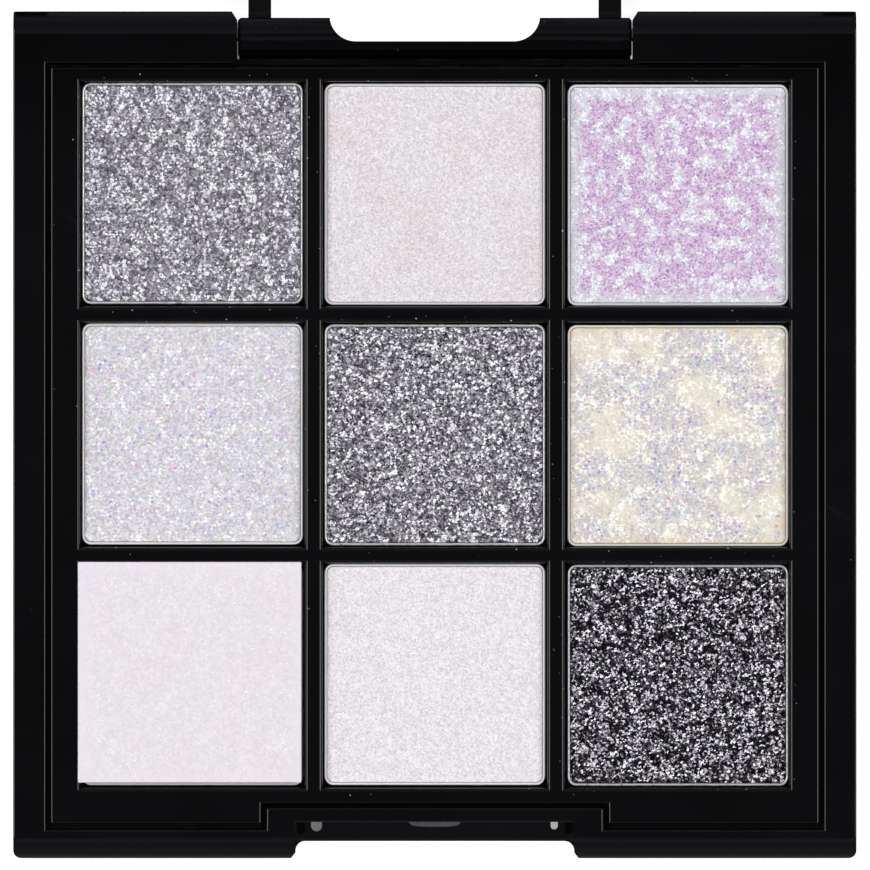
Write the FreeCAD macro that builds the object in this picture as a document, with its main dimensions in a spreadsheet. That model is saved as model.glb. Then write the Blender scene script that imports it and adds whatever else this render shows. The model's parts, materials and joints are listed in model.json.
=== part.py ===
# Nine-pan eyeshadow palette: a square compact with a moulded base case, an insert tray with nine
# wells, nine pressed shades in metal pans, and a mirrored lid on two hinge pins.
# Frame: millimetres, +Z up, origin at the centre of the underside of the base case, +X to the
# right, +Y towards the hinge. The lid is modelled closed, and its Placement lays it fully open
# behind the base.
import FreeCAD, Part
import os
import math
import Sketcher

V = FreeCAD.Vector
doc = FreeCAD.newDocument("palette")
sheet = doc.addObject("Spreadsheet::Sheet", "dims")

# Driving dimensions: alias, value, meaning.
PARAMS = [
    ("case_w", 100.2, "base case width along X"),
    ("case_d", 100.7, "base case depth along Y"),
    ("case_top", 10.0, "height of the rim"),
    ("case_corner", 0.95, "plan radius of the front corners"),
    ("case_chamfer", 0.35, "chamfer round the underside"),
    ("edge_round", 0.18, "outer top edge round"),
    ("front_round", 2.7, "round along the front edge"),
    ("floor_t", 1.5, "base case floor thickness"),
    ("cav_hw", 46.2, "half width of the tray cavity"),
    ("cav_front", 46.9, "cavity front wall, distance ahead of the origin"),
    ("cav_back", 44.15, "cavity back wall beside the hinge"),
    ("cav_back_mid", 44.0, "cavity back wall ahead of the hinge tongue"),
    ("cav_mid_over", 0.6, "reach of the middle back wall beyond each side of the cut-out"),
    ("groove_round", 0.26, "round along the cavity's top edge"),
    ("hinge_y", 47.55, "hinge axis, Y"),
    ("hinge_z", 7.3, "hinge axis, Z"),
    ("block_round", 2.7, "round along the back of the hinge blocks"),
    ("cut_hw", 23.55, "half width of the hinge cut-out"),
    ("cut_y", 44.65, "front wall of the hinge cut-out"),
    ("slant_x", 0.6, "slant at the blocks' rear inner corners, across"),
    ("slant_y", 0.95, "slant at the blocks' rear inner corners, along"),
    ("front_slant_x", 0.5, "slant beside the thumb recess, across"),
    ("front_slant_y", 0.65, "slant beside the thumb recess, along"),
    ("cut_wall_top", 9.2, "top of the thin wall ahead of the tongue"),
    ("cut_open_y", 46.7, "where the cut-out opens right through the floor"),
    ("cut_plate_hw", 23.3, "half width of the floor left under the tongue"),
    ("block_hw", 20.05, "half width of the front block behind the thumb recess"),
    ("block_y", 44.3, "rear face of the front block, distance ahead of the origin"),
    ("rec_hw", 16.6, "half width of the thumb recess"),
    ("rec_y", 46.0, "back wall of the thumb recess, distance ahead of the origin"),
    ("rec_round", 0.2, "round along the top of the recess wall"),
    ("ledge_y", 48.4, "front edge of the ledge under the recess, distance ahead of the origin"),
    ("ledge_z", 2.6, "top of the ledge, at the recess wall"),
    ("ledge_fall", 0.46, "slope of the ledge, fall for each unit forward"),
    ("ledge_web", 1.15, "plan radius where the ledge meets the sides"),
    ("facet_back", 0.35, "start of the ledge's front facet, behind its front edge"),
    ("facet_front", 0.1, "end of the facet's slope, ahead of the ledge's front edge"),
    ("facet_drop", 0.5, "fall of the facet"),
    ("dimple_x0", 15.5, "blind dimple at each end of the ledge, inner side"),
    ("dimple_x1", 16.45, "blind dimple, outer side"),
    ("dimple_y", 47.1, "blind dimple, centre of its round end, distance ahead of the origin"),
    ("dimple_z", 1.3, "bottom of the blind dimples"),
    ("nub_hw", 3.2, "half width of the catch nub"),
    ("nub_out", 0.62, "how far the catch nub stands out"),
    ("nub_z", 6.2, "underside of the catch nub"),
    ("nub_t", 1.0, "height of the catch nub"),
    ("nub_edge", 0.22, "round along the nub's upper edge"),
    ("slot_x0", 13.45, "left-hand ledge opening, inner side"),
    ("slot_x1", 14.75, "left-hand ledge opening, outer side"),
    ("slot_right_x0", 13.8, "right-hand ledge opening, inner side"),
    ("slot_right_x1", 14.65, "right-hand ledge opening, outer side"),
    ("slot_y", 46.6, "ledge openings, centre of the round end, distance ahead of the origin"),
    ("pin_r", 0.75, "hinge pin radius"),
    ("pin_len", 31.5, "hinge pin length"),
    ("pin_inset", 0.5, "pin end below the side face"),
    ("pin_bore_lid", 0.8, "radius of the pin bores in the lid"),
    ("lid_bore_depth", 5.5, "depth of the pin bores in the lid"),
    ("tray_hw", 45.7, "insert tray, half width of its top"),
    ("tray_front", 46.25, "insert tray, front of its top, distance ahead of the origin"),
    ("tray_back", 43.75, "insert tray, back of its top"),
    ("tray_low_hw", 46.1, "insert tray, half width below the groove"),
    ("tray_low_front", 46.8, "insert tray, front below the groove"),
    ("tray_low_back", 43.9, "insert tray, back below the groove"),
    ("tray_notch_hw", 20.6, "half width of the tray's front notch"),
    ("tray_notch_y", 43.85, "back of the tray's front notch, distance ahead of the origin"),
    ("tray_step", 8.7, "bottom of the groove round the tray"),
    ("tray_top", 9.7, "top of the tray"),
    ("tray_corner", 0.35, "plan radius of the tray's upper corners"),
    ("tray_round", 0.27, "round along the tray's outer top edge"),
    ("win_w", 26.7, "well width"),
    ("win_d", 26.7, "well depth along Y"),
    ("pitch_x", 28.8, "well pitch along X"),
    ("pitch_y", 28.6, "well pitch along Y"),
    ("well_floor", 4.35, "top of the well floor"),
    ("web_t", 1.2, "thickness of the well floor"),
    ("core_w", 26.5, "width of the cores under the wells"),
    ("core_d", 26.3, "depth of the cores under the wells"),
    ("win_round", 0.4, "round along the well edges"),
    ("glue_t", 0.15, "thickness of the glue dots"),
    ("glue_r", 5.0, "radius of the glue dots"),
    ("pan_w", 26.3, "pan width"),
    ("pan_h", 4.0, "pan height"),
    ("pan_t", 0.3, "pan sheet thickness"),
    ("pan_corner", 1.1, "pan corner radius"),
    ("pan_foot", 0.5, "round along the pan's lower edge"),
    ("shift_x", 0.1, "how far the right-hand pans sit off centre in their wells, across"),
    ("shift_y", 0.1, "how far the left and right pans sit off centre in their wells, along"),
    ("shift_front", 0.12, "how far the front centre and right pans sit back in their wells"),
    ("cake_gap", 0.05, "gap between a cake and its pan"),
    ("cake_round", 0.3, "round along a cake's top edge"),
    ("lip_t", 0.15, "height of the overfilled cake above the tray"),
    ("lip_round", 0.1, "round along the overfilled cake's top edge"),
    ("lid_back", 43.1, "back face of the closed lid"),
    ("lid_gap", 0.1, "gap between the rim and the closed lid"),
    ("lid_t", 4.4, "lid thickness"),
    ("lid_skin", 1.3, "lid panel thickness"),
    ("lid_wall", 1.6, "lid side wall thickness"),
    ("lid_border", 2.1, "depth from the lid's edge to the border round the mirror"),
    ("lid_round", 0.9, "round along the lid's outer edge"),
    ("lid_in_corner", 0.8, "plan radius inside the lid's walls"),
    ("lid_lip", 0.15, "round along the lid's lower edges"),
    ("mirror_hw", 46.4, "mirror half width"),
    ("mirror_front", 46.45, "mirror front edge, distance ahead of the origin"),
    ("mirror_back", 39.7, "mirror back edge"),
    ("mirror_t", 1.1, "mirror thickness"),
    ("mirror_gap", 0.2, "gap round the mirror"),
    ("mirror_corner", 1.3, "mirror corner radius"),
    ("mirror_bevel", 0.15, "chamfer round the mirror's face"),
    ("mirror_bed_corner", 1.5, "corner radius of the mirror pocket"),
    ("tape_t", 0.15, "mirror tape thickness"),
    ("tape_inset", 1.0, "tape edge inside the mirror's edge"),
    ("tongue_hw", 23.4, "half width of the hinge tongue"),
    ("tongue_chamfer", 0.3, "chamfer at the ends of the tongue"),
    ("lobe_in", 12.5, "inner end of each hinge lobe"),
    ("lobe_r", 2.05, "radius of the hinge lobes"),
    ("bar_r", 2.7, "radius of the bar that joins the lobes"),
    ("bar_off", 0.78, "distance from the hinge axis to the bar's flat face"),
    ("web_r", 3.1, "plan radius between a lobe and the bar"),
    ("arm_in", 19.5, "inner side of each hinge arm"),
    ("arm_out", 22.2, "outer side of each hinge arm"),
    ("arm_root", 0.8, "how far the arms run into the lid's back wall"),
    ("arm_below", 0.95, "top of the arms, below the lid's outer face"),
    ("flap_hw", 15.5, "half width of the latch flap"),
    ("flap_in", 46.75, "inner face of the latch flap, distance ahead of the origin"),
    ("flap_t", 1.15, "latch flap thickness"),
    ("flap_bottom", 3.4, "lower edge of the latch flap"),
    ("flap_corner", 0.4, "radius of the flap's outer upright edges"),
    ("bead_hw", 3.5, "half width of the latch bead"),
    ("bead_out", 0.25, "how far the latch bead stands in"),
    ("bead_z", 4.7, "underside of the latch bead"),
    ("bead_t", 1.0, "height of the latch bead"),
    ("bead_edge", 0.2, "round along the bead's edges"),
]

# The pans: column (-1 left, 1 right), row (-1 front, 1 back), place, shade, top of the cake.
SHADES = [
    (-1, 1, "back_left", "silver_glitter", 8.30),
    (0, 1, "back_centre", "rose_shimmer", 8.42),
    (1, 1, "back_right", "lilac_glitter", 8.34),
    (-1, 0, "middle_left", "opal_glitter", 8.38),
    (0, 0, "middle_centre", "gunmetal_glitter", 8.32),
    (1, 0, "middle_right", "champagne_glitter", 8.42),
    (-1, -1, "front_left", "pink_satin", 8.50),
    (0, -1, "front_centre", "pearl_satin", 8.44),
    (1, -1, "front_right", "black_glitter", 8.30),
]
GRID = [(column, row) for column, row, *_ in SHADES]

# The overfilled cake's cap and lip, from its pan's centre: x0, y0, x1, y1.
OVERFILLED = "front_left"
CAP_RECT = (-13.28, -12.82, 12.95, 13.18)
LIP_RECT = (-13.62, -12.82, 12.95, 13.4)

# Catch nub's left half, from its end to its front: shares of its half width and of its reach.
NUB_CURVE = [(1, 0), (0.86, 0.72), (0.62, 0.94), (0.3, 1)]

SIDES = (("left", -1), ("right", 1))
OVER = 1.0         # how far a cutter runs past the material
SHORT_OVER = 0.5   # the same, where a shorter run is enough
ROOT = 0.3         # how far an added piece runs into the wall it stands on


class Size:
    """A number together with the spreadsheet expression that drives it."""

    def __init__(self, value, text):
        self.value, self.text = value, text

    @staticmethod
    def of(other):
        return other if isinstance(other, Size) else Size(float(other), "%.6g" % float(other))

    def __float__(self):
        return self.value

    def __add__(self, other):
        other = Size.of(other)
        return Size(self.value + other.value, "(%s + %s)" % (self.text, other.text))

    def __sub__(self, other):
        other = Size.of(other)
        return Size(self.value - other.value, "(%s - %s)" % (self.text, other.text))

    def __mul__(self, other):
        other = Size.of(other)
        return Size(self.value * other.value, "(%s * %s)" % (self.text, other.text))

    def __truediv__(self, other):
        other = Size.of(other)
        return Size(self.value / other.value, "(%s / %s)" % (self.text, other.text))

    def __neg__(self):
        return Size(-self.value, "(0 - %s)" % self.text)

    def root(self):
        return Size(math.sqrt(self.value), "sqrt(%s)" % self.text)


class Dims:
    """Holds every driving dimension as a Size, under its alias."""


dims = Dims()
for line, (alias, value, note) in enumerate(PARAMS, start=1):
    sheet.set("A%d" % line, str(value))
    sheet.set("B%d" % line, "'" + note)
    sheet.setAlias("A%d" % line, alias)
    setattr(dims, alias, Size(value, "dims." + alias))
doc.recompute()


# ---------------------------------------------------------------- document helpers
def check():
    """Recomputes the document and stops if any object has failed."""
    doc.recompute()
    bad = [o.Name for o in doc.Objects if "Invalid" in o.State or "Error" in o.State]
    if bad:
        raise RuntimeError("failed objects: %s" % bad)


def bind(obj, prop, size):
    obj.setExpression(prop, Size.of(size).text)


def place(obj, x, y, z, rotation=None):
    """Places an object, with its position driven by the sheet."""
    position = V(float(x), float(y), float(z))
    obj.Placement = FreeCAD.Placement(position, rotation or FreeCAD.Rotation())
    for axis, size in (("x", x), ("y", y), ("z", z)):
        bind(obj, "Placement.Base." + axis, size)


def new_body(label):
    return doc.addObject("PartDesign::Body", label)


def cylinder(name, radius, height, x, y, z, along_x=False):
    """A cylinder that stands on (x, y, z), or runs from there along +X."""
    obj = doc.addObject("Part::Cylinder", name)
    bind(obj, "Radius", radius)
    bind(obj, "Height", height)
    place(obj, x, y, z, FreeCAD.Rotation(V(0, 1, 0), 90) if along_x else None)
    return obj


# ---------------------------------------------------------------- sketch helpers
def sketch(body, name, role="XY_Plane", offset=None):
    """A sketch on one of the body's origin planes, moved by offset along the plane's normal.

    On the YZ plane, the sketch's x runs along Y and its y along Z.
    """
    sk = body.newObject("Sketcher::SketchObject", name)
    plane = [f for f in body.Origin.OriginFeatures if f.Role == role][0]
    sk.AttachmentSupport = [(plane, "")]
    sk.MapMode = "FlatFace"
    if offset is not None:
        sk.AttachmentOffset = FreeCAD.Placement(V(0, 0, float(offset)), FreeCAD.Rotation())
        bind(sk, "AttachmentOffset.Base.z", offset)
    return sk


def hold(sk, geo, pos, kind, size):
    """Holds one coordinate of a sketch point. A zero puts the point on the sketch's axis."""
    size = Size.of(size)
    across = kind == "DistanceX"
    if abs(size.value) < 1e-9:
        axis = -2 if across else -1
        sk.addConstraint(Sketcher.Constraint("PointOnObject", geo, pos, axis))
        return
    index = sk.addConstraint(Sketcher.Constraint(kind, -1, 1, geo, pos, size.value))
    name = "%s%d_%d" % ("x" if across else "y", geo, pos)
    sk.renameConstraint(index, name)
    bind(sk, "Constraints." + name, size)


def pin_point(sk, geo, pos, x, y):
    hold(sk, geo, pos, "DistanceX", x)
    hold(sk, geo, pos, "DistanceY", y)


def poly(sk, points):
    """A closed polygon of driven corner points."""
    base, count = sk.GeometryCount, len(points)
    corners = [V(float(x), float(y), 0) for x, y in points]
    for i in range(count):
        sk.addGeometry(Part.LineSegment(corners[i], corners[(i + 1) % count]), False)
    for i in range(count):
        following = base + (i + 1) % count
        sk.addConstraint(Sketcher.Constraint("Coincident", base + i, 2, following, 1))
    for i, (x, y) in enumerate(points):
        pin_point(sk, base + i, 1, x, y)


def rect(sk, x0, y0, x1, y1):
    poly(sk, [(x0, y0), (x1, y0), (x1, y1), (x0, y1)])


def outline(sk, items):
    """A closed outline. Each item is a line to (x, y) or an arc to (x, y, cx, cy, ccw)."""
    base, count = sk.GeometryCount, len(items)
    ends = []  # for each piece, its start and end points in Sketcher's numbering
    for i, item in enumerate(items):
        start_x, start_y = (float(q) for q in items[i - 1][:2])
        x, y = (float(q) for q in item[:2])
        if len(item) == 2:
            sk.addGeometry(Part.LineSegment(V(start_x, start_y, 0), V(x, y, 0)), False)
            ends.append((1, 2))
            continue
        cx, cy, ccw = float(item[2]), float(item[3]), item[4]
        start = math.atan2(start_y - cy, start_x - cx)
        end = math.atan2(y - cy, x - cx)
        if not ccw:
            start, end = end, start
        circle = Part.Circle(V(cx, cy, 0), V(0, 0, 1), math.hypot(x - cx, y - cy))
        sk.addGeometry(Part.ArcOfCircle(circle, start, end), False)
        ends.append((1, 2) if ccw else (2, 1))
    for i in range(count):
        j = (i + 1) % count
        sk.addConstraint(
            Sketcher.Constraint("Coincident", base + i, ends[i][1], base + j, ends[j][0]))
    for i, item in enumerate(items):
        x, y = item[:2]
        if len(item) == 2:
            pin_point(sk, base + i, ends[i][1], x, y)
            continue
        # An arc's radius and start follow from the piece before it, so its end needs one size
        # only: the one that changes fastest along the arc.
        cx, cy = item[2:4]
        pin_point(sk, base + i, 3, cx, cy)
        if abs(float(x) - float(cx)) > abs(float(y) - float(cy)):
            hold(sk, base + i, ends[i][1], "DistanceY", y)
        else:
            hold(sk, base + i, ends[i][1], "DistanceX", x)


def hinge_circle(sk, radius):
    """A circle about the hinge axis, in a sketch on the YZ plane."""
    centre = V(float(hinge_y), float(hinge_z), 0)
    geo = sk.addGeometry(Part.Circle(centre, V(0, 0, 1), float(radius)), False)
    index = sk.addConstraint(Sketcher.Constraint("Radius", geo, float(radius)))
    sk.renameConstraint(index, "r")
    bind(sk, "Constraints.r", radius)
    pin_point(sk, geo, 3, hinge_y, hinge_z)


# ---------------------------------------------------------------- feature helpers
def finish(body, feature, name):
    """Makes the feature the tip. A body must stay one valid solid after every step."""
    doc.recompute()
    body.Tip = feature
    check()
    if not body.Shape.isValid() or len(body.Shape.Solids) != 1:
        raise RuntimeError("%s left no single valid solid" % name)


def extrude(body, kind, sk, length, name, reverse):
    feature = body.newObject("PartDesign::" + kind, name)
    feature.Profile = sk
    feature.Length = float(length)
    bind(feature, "Length", length)
    feature.Reversed = reverse
    finish(body, feature, name)


def pad(body, sk, length, name):
    extrude(body, "Pad", sk, length, name, False)


def cut(body, sk, length, name, reverse=False):
    """A pocket, against its sketch's normal unless reversed. The volume must drop."""
    before = body.Shape.Volume
    extrude(body, "Pocket", sk, length, name, reverse)
    if not body.Shape.Volume < before - 1e-3:
        raise RuntimeError("%s cut nothing" % name)


def dress(body, test, size, name, kind, prop):
    """Fillets or chamfers the tip's edges whose bounding box passes the test."""
    tip = body.Tip
    names = ["Edge%d" % i for i, edge in enumerate(tip.Shape.Edges, start=1)
             if test(edge.BoundBox)]
    if not names:
        raise RuntimeError("%s has no edges" % name)
    feature = body.newObject("PartDesign::" + kind, name)
    feature.Base = (tip, names)
    setattr(feature, prop, float(size))
    bind(feature, prop, size)
    finish(body, feature, name)


def fillet(body, test, radius, name):
    dress(body, test, radius, name, "Fillet", "Radius")


def chamfer(body, test, size, name):
    dress(body, test, size, name, "Chamfer", "Size")


def hinge_bore(body, name, side, start, radius, length):
    """A bore along the hinge axis, inwards from a start beyond the material on one side."""
    sk = sketch(body, name + "_sketch", "YZ_Plane", start * side)
    hinge_circle(sk, radius)
    cut(body, sk, length, name, reverse=(side < 0))


# ---------------------------------------------------------------- edge tests
def near(a, b):
    return abs(float(a) - float(b)) < 0.01


def upright(box):
    return box.XLength < 0.01 and box.YLength < 0.01


def vertical_at(*places):
    """Upright edges at any of the (x, y) places."""
    tol = 0.02

    def test(box):
        return (box.ZLength > 0.3 and box.XLength < tol and box.YLength < tol
                and any(abs(box.Center.x - float(x)) < tol and abs(box.Center.y - float(y)) < tol
                        for x, y in places))
    return test


def flat_at(z):
    """Level edges at height z."""
    tol = 0.005
    return lambda box: box.ZLength < tol and abs(box.Center.z - float(z)) < tol


def taller_than(height):
    return lambda box: box.ZLength > height


# ---------------------------------------------------------------- shared places
half_w, half_d = dims.case_w / 2, dims.case_d / 2
hinge_y, hinge_z = dims.hinge_y, dims.hinge_z
rim = dims.case_top
pan_z = dims.well_floor + dims.glue_t
cake_z = pan_z + dims.pan_t
pan_half = dims.pan_w / 2
pan_inner = pan_half - dims.pan_t
pan_inner_corner = dims.pan_corner - dims.pan_t
lid_low = rim + dims.lid_gap
lid_high = lid_low + dims.lid_t
border_z = lid_low + dims.lid_border
tape_z = lid_high - dims.lid_skin - dims.tape_t


# ---------------------------------------------------------------- base case
def case_block(case):
    """The outer block: round along the back and front edges, chamfered underneath."""
    back_r = dims.block_round
    sk = sketch(case, "case_profile", "YZ_Plane", -half_w)
    outline(sk, [
        (-half_d, 0), (half_d, 0), (half_d, rim - back_r),
        (half_d - back_r, rim, half_d - back_r, rim - back_r, True),
        (-half_d, rim),
    ])
    pad(case, sk, dims.case_w, "case_block")
    fillet(case, vertical_at((-half_w, -half_d), (half_w, -half_d)), dims.case_corner,
           "case_front_corners")
    chamfer(case, flat_at(0), dims.case_chamfer, "case_under_chamfer")

    round_start = float(half_d - back_r)
    front_limit = float(-half_d) + 1.4  # takes in the front edge and the corner arcs

    def outer_top(box):
        low = box.ZMin < 0.5 and box.ZLength < 0.01
        side = (near(abs(box.Center.x), half_w) and box.XLength < 0.01
                and (near(box.Center.z, rim) or box.YMin > round_start - 0.01))
        front = flat_at(rim)(box) and box.YMax < front_limit
        return not low and (side or front)

    fillet(case, outer_top, dims.edge_round, "case_outer_round")

    front_r = dims.front_round
    sk = sketch(case, "front_round_sketch", "YZ_Plane", -half_w - OVER)
    outline(sk, [
        (-half_d - OVER, rim + OVER), (-half_d - OVER, rim - front_r), (-half_d, rim - front_r),
        (-half_d + front_r, rim, -half_d + front_r, rim - front_r, False),
        (-half_d + front_r, rim + OVER),
    ])
    cut(case, sk, dims.case_w + OVER * 2, "front_edge_round", reverse=True)


def case_hinge_cut(case):
    """The cut-out between the hinge blocks, open at the back, for the lid's tongue."""
    cut_hw, cut_y, slant_y = dims.cut_hw, dims.cut_y, dims.slant_y
    flare = dims.slant_x * (slant_y + OVER) / slant_y
    # The blocks' rear inner corners are cut back at a slant.
    rear = [(cut_hw, half_d - slant_y), (cut_hw + flare, half_d + OVER),
            (-cut_hw - flare, half_d + OVER), (-cut_hw, half_d - slant_y)]
    sk = sketch(case, "hinge_cut_sketch", "XY_Plane", rim + OVER)
    poly(sk, [(-cut_hw, cut_y), (cut_hw, cut_y)] + rear)
    cut(case, sk, rim + OVER - dims.floor_t, "hinge_cut")
    # At the back, and in a narrow strip at each end, it goes right through the floor.
    open_y, plate_hw = dims.cut_open_y, dims.cut_plate_hw
    sk = sketch(case, "hinge_open_sketch", "XY_Plane", rim + OVER)
    poly(sk, [(-cut_hw, cut_y), (-plate_hw, cut_y), (-plate_hw, open_y),
              (plate_hw, open_y), (plate_hw, cut_y), (cut_hw, cut_y)] + rear)
    cut(case, sk, rim + OVER * 2, "hinge_open")


def case_cavity(case):
    """The tray cavity, with a block left standing behind the thumb recess."""
    side, front, back, back_mid = dims.cav_hw, dims.cav_front, dims.cav_back, dims.cav_back_mid
    block_hw, block_y = dims.block_hw, dims.block_y
    mid_hw = dims.cut_hw + dims.cav_mid_over
    sk = sketch(case, "cavity_sketch", "XY_Plane", rim)
    poly(sk, [(-side, -front), (-block_hw, -front), (-block_hw, -block_y), (block_hw, -block_y),
              (block_hw, -front), (side, -front), (side, back), (mid_hw, back),
              (mid_hw, back_mid), (-mid_hw, back_mid), (-mid_hw, back), (-side, back)])
    cut(case, sk, rim - dims.floor_t, "tray_cavity")

    # The thin wall ahead of the tongue stands a little lower than the rim.
    slack = 0.2  # the cutter's overlap ahead of and behind the wall
    sk = sketch(case, "thin_wall_sketch", "XY_Plane", rim)
    rect(sk, -dims.cut_hw, back_mid - slack, dims.cut_hw, dims.cut_y + slack)
    cut(case, sk, rim - dims.cut_wall_top, "thin_wall_top")


def recess_outline(sk, back_y):
    """The thumb recess in plan: open at the front, where its sides slant outwards."""
    rec_hw, slant_y = dims.rec_hw, dims.front_slant_y
    flare = dims.front_slant_x * (slant_y + OVER) / slant_y
    poly(sk, [(-rec_hw - flare, -half_d - OVER), (rec_hw + flare, -half_d - OVER),
              (rec_hw, -half_d + slant_y), (rec_hw, -back_y),
              (-rec_hw, -back_y), (-rec_hw, -half_d + slant_y)])


def case_recess(case):
    """The thumb recess, and the ledge below it."""
    rec_hw, rec_y = dims.rec_hw, dims.rec_y
    ledge_y, ledge_z, fall = dims.ledge_y, dims.ledge_z, dims.ledge_fall
    sk = sketch(case, "recess_sketch", "XY_Plane", rim)
    recess_outline(sk, rec_y)
    cut(case, sk, rim - ledge_z, "thumb_recess")
    sk = sketch(case, "ledge_sketch", "XY_Plane", ledge_z)
    recess_outline(sk, ledge_y)
    cut(case, sk, ledge_z + OVER, "ledge_front")
    ledge_ends = vertical_at((-rec_hw, -ledge_y), (rec_hw, -ledge_y))
    fillet(case, lambda box: ledge_ends(box) and box.ZMax < float(ledge_z) + 0.1,
           dims.ledge_web, "ledge_webs")
    # The ledge's top falls away forward.
    sk = sketch(case, "ledge_slope_sketch", "YZ_Plane", -rec_hw)
    poly(sk, [(-rec_y, ledge_z),
              (-half_d - OVER, ledge_z - (half_d + OVER - rec_y) * fall),
              (-half_d - OVER, ledge_z + OVER), (-rec_y, ledge_z + OVER)])
    cut(case, sk, rec_hw * 2, "ledge_slope", reverse=True)
    # Its front edge is broken by a steeper facet.
    facet_y0, facet_y1 = ledge_y - dims.facet_back, ledge_y + dims.facet_front
    facet_z0 = ledge_z - (facet_y0 - rec_y) * fall
    facet_z1 = facet_z0 - dims.facet_drop
    sk = sketch(case, "ledge_facet_sketch", "YZ_Plane", -rec_hw)
    poly(sk, [(-facet_y0, facet_z0), (-facet_y1, facet_z1), (-half_d - OVER, facet_z1),
              (-half_d - OVER, ledge_z + SHORT_OVER), (-facet_y0, ledge_z + SHORT_OVER)])
    cut(case, sk, rec_hw * 2, "ledge_facet", reverse=True)


def ledge_hole(case, name, x0, x1, round_y, depth):
    """A D-shaped hole in the ledge, against the recess wall, with its round end forward."""
    sk = sketch(case, name + "_sketch", "XY_Plane", dims.ledge_z)
    outline(sk, [
        (x1, -dims.rec_y), (x0, -dims.rec_y), (x0, -round_y),
        (x1, -round_y, (x0 + x1) / 2, -round_y, True),
    ])
    cut(case, sk, depth, name)


def case_ledge_holes(case):
    """Two openings through the ledge, the right-hand one narrower, and a dimple outside each."""
    through = dims.ledge_z + OVER
    ledge_hole(case, "ledge_opening_left", -dims.slot_x1, -dims.slot_x0, dims.slot_y, through)
    ledge_hole(case, "ledge_opening_right", dims.slot_right_x0, dims.slot_right_x1,
               dims.slot_y, through)
    depth = dims.ledge_z - dims.dimple_z
    ledge_hole(case, "dimple_left", -dims.dimple_x1, -dims.dimple_x0, dims.dimple_y, depth)
    ledge_hole(case, "dimple_right", dims.dimple_x0, dims.dimple_x1, dims.dimple_y, depth)


def case_nub(case):
    """The catch nub, a shallow crescent on the recess wall."""
    nub_hw, wall = dims.nub_hw, -dims.rec_y
    left = [(-nub_hw * across, wall - dims.nub_out * out) for across, out in NUB_CURVE]
    right = [(nub_hw * across, wall - dims.nub_out * out) for across, out in NUB_CURVE[::-1]]
    sk = sketch(case, "nub_sketch", "XY_Plane", dims.nub_z)
    poly(sk, [(-nub_hw, wall + ROOT)] + left + right + [(nub_hw, wall + ROOT)])
    pad(case, sk, dims.nub_t, "catch_nub")
    nub_top = flat_at(dims.nub_z + dims.nub_t)
    fillet(case, lambda box: (nub_top(box) and box.YMax < float(wall) + 0.001
                              and box.XLength < 5 and abs(box.Center.x) < float(nub_hw) + 0.1),
           dims.nub_edge, "nub_round")


def case_top_rounds(case):
    """Small rounds along the cavity's edge and along the recess wall."""
    def groove_edge(box):
        along = box.XLength < 0.01 and any(
            near(abs(box.XMin), x) for x in (dims.cav_hw, dims.block_hw))
        across = box.YLength < 0.01 and any(
            near(box.YMin, y) for y in (-dims.cav_front, dims.cav_back, -dims.block_y))
        return flat_at(rim)(box) and (along or across)

    def recess_edge(box):
        return flat_at(rim)(box) and box.YLength < 0.01 and near(box.YMin, -dims.rec_y)

    fillet(case, groove_edge, dims.groove_round, "groove_round")
    fillet(case, recess_edge, dims.rec_round, "recess_wall_round")


def build_case():
    case = new_body("base_case")
    case_block(case)
    case_hinge_cut(case)
    case_cavity(case)
    case_recess(case)
    case_ledge_holes(case)
    case_nub(case)
    # Pin bores, through the blocks from each side.
    for side, sign in SIDES:
        hinge_bore(case, "pin_bore_" + side, sign, half_w + OVER, dims.pin_r,
                   half_w - dims.cut_hw + (OVER + SHORT_OVER))
    case_top_rounds(case)
    return case


# ---------------------------------------------------------------- insert tray
def tray_layer(tray, sketch_name, name, low, high, side, front, back):
    """One level of the tray, with the notch in its front."""
    notch_hw, notch_y = dims.tray_notch_hw, dims.tray_notch_y
    sk = sketch(tray, sketch_name, "XY_Plane", low)
    poly(sk, [(-side, -front), (-notch_hw, -front), (-notch_hw, -notch_y),
              (notch_hw, -notch_y), (notch_hw, -front), (side, -front),
              (side, back), (-side, back)])
    pad(tray, sk, high - low, name)


def grid_sketch(tray, name, z, width, depth):
    """A sketch with a rectangle centred on each well."""
    sk = sketch(tray, name, "XY_Plane", z)
    for column, row in GRID:
        x, y = dims.pitch_x * column, dims.pitch_y * row
        rect(sk, x - width / 2, y - depth / 2, x + width / 2, y + depth / 2)
    return sk


def build_tray():
    tray = new_body("pan_tray")
    step, top, base = dims.tray_step, dims.tray_top, dims.floor_t
    side, front, back = dims.tray_hw, dims.tray_front, dims.tray_back
    tray_layer(tray, "tray_low_sketch", "tray_low", base, step,
               dims.tray_low_hw, dims.tray_low_front, dims.tray_low_back)
    tray_layer(tray, "tray_top_sketch", "tray_plate", step, top, side, front, back)
    sk = grid_sketch(tray, "wells_sketch", top, dims.win_w, dims.win_d)
    cut(tray, sk, top - dims.well_floor, "wells")
    # Hollows under the wells, from below.
    sk = grid_sketch(tray, "cores_sketch", base, dims.core_w, dims.core_d)
    cut(tray, sk, dims.well_floor - dims.web_t - base, "cores", reverse=True)
    fillet(tray, vertical_at((-side, -front), (side, -front), (-side, back), (side, back)),
           dims.tray_corner, "tray_corners")

    # Half width and half depth of an area that holds the well edges but not the outer edge.
    field_x, field_y = 43.2, 42.6
    on_top = flat_at(top)

    def in_field(box):
        return abs(box.Center.x) < field_x and abs(box.Center.y) < field_y

    fillet(tray, lambda box: on_top(box) and not in_field(box), dims.tray_round,
           "tray_edge_round")
    fillet(tray, lambda box: on_top(box) and in_field(box), dims.win_round, "well_edge_round")
    return tray


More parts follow.
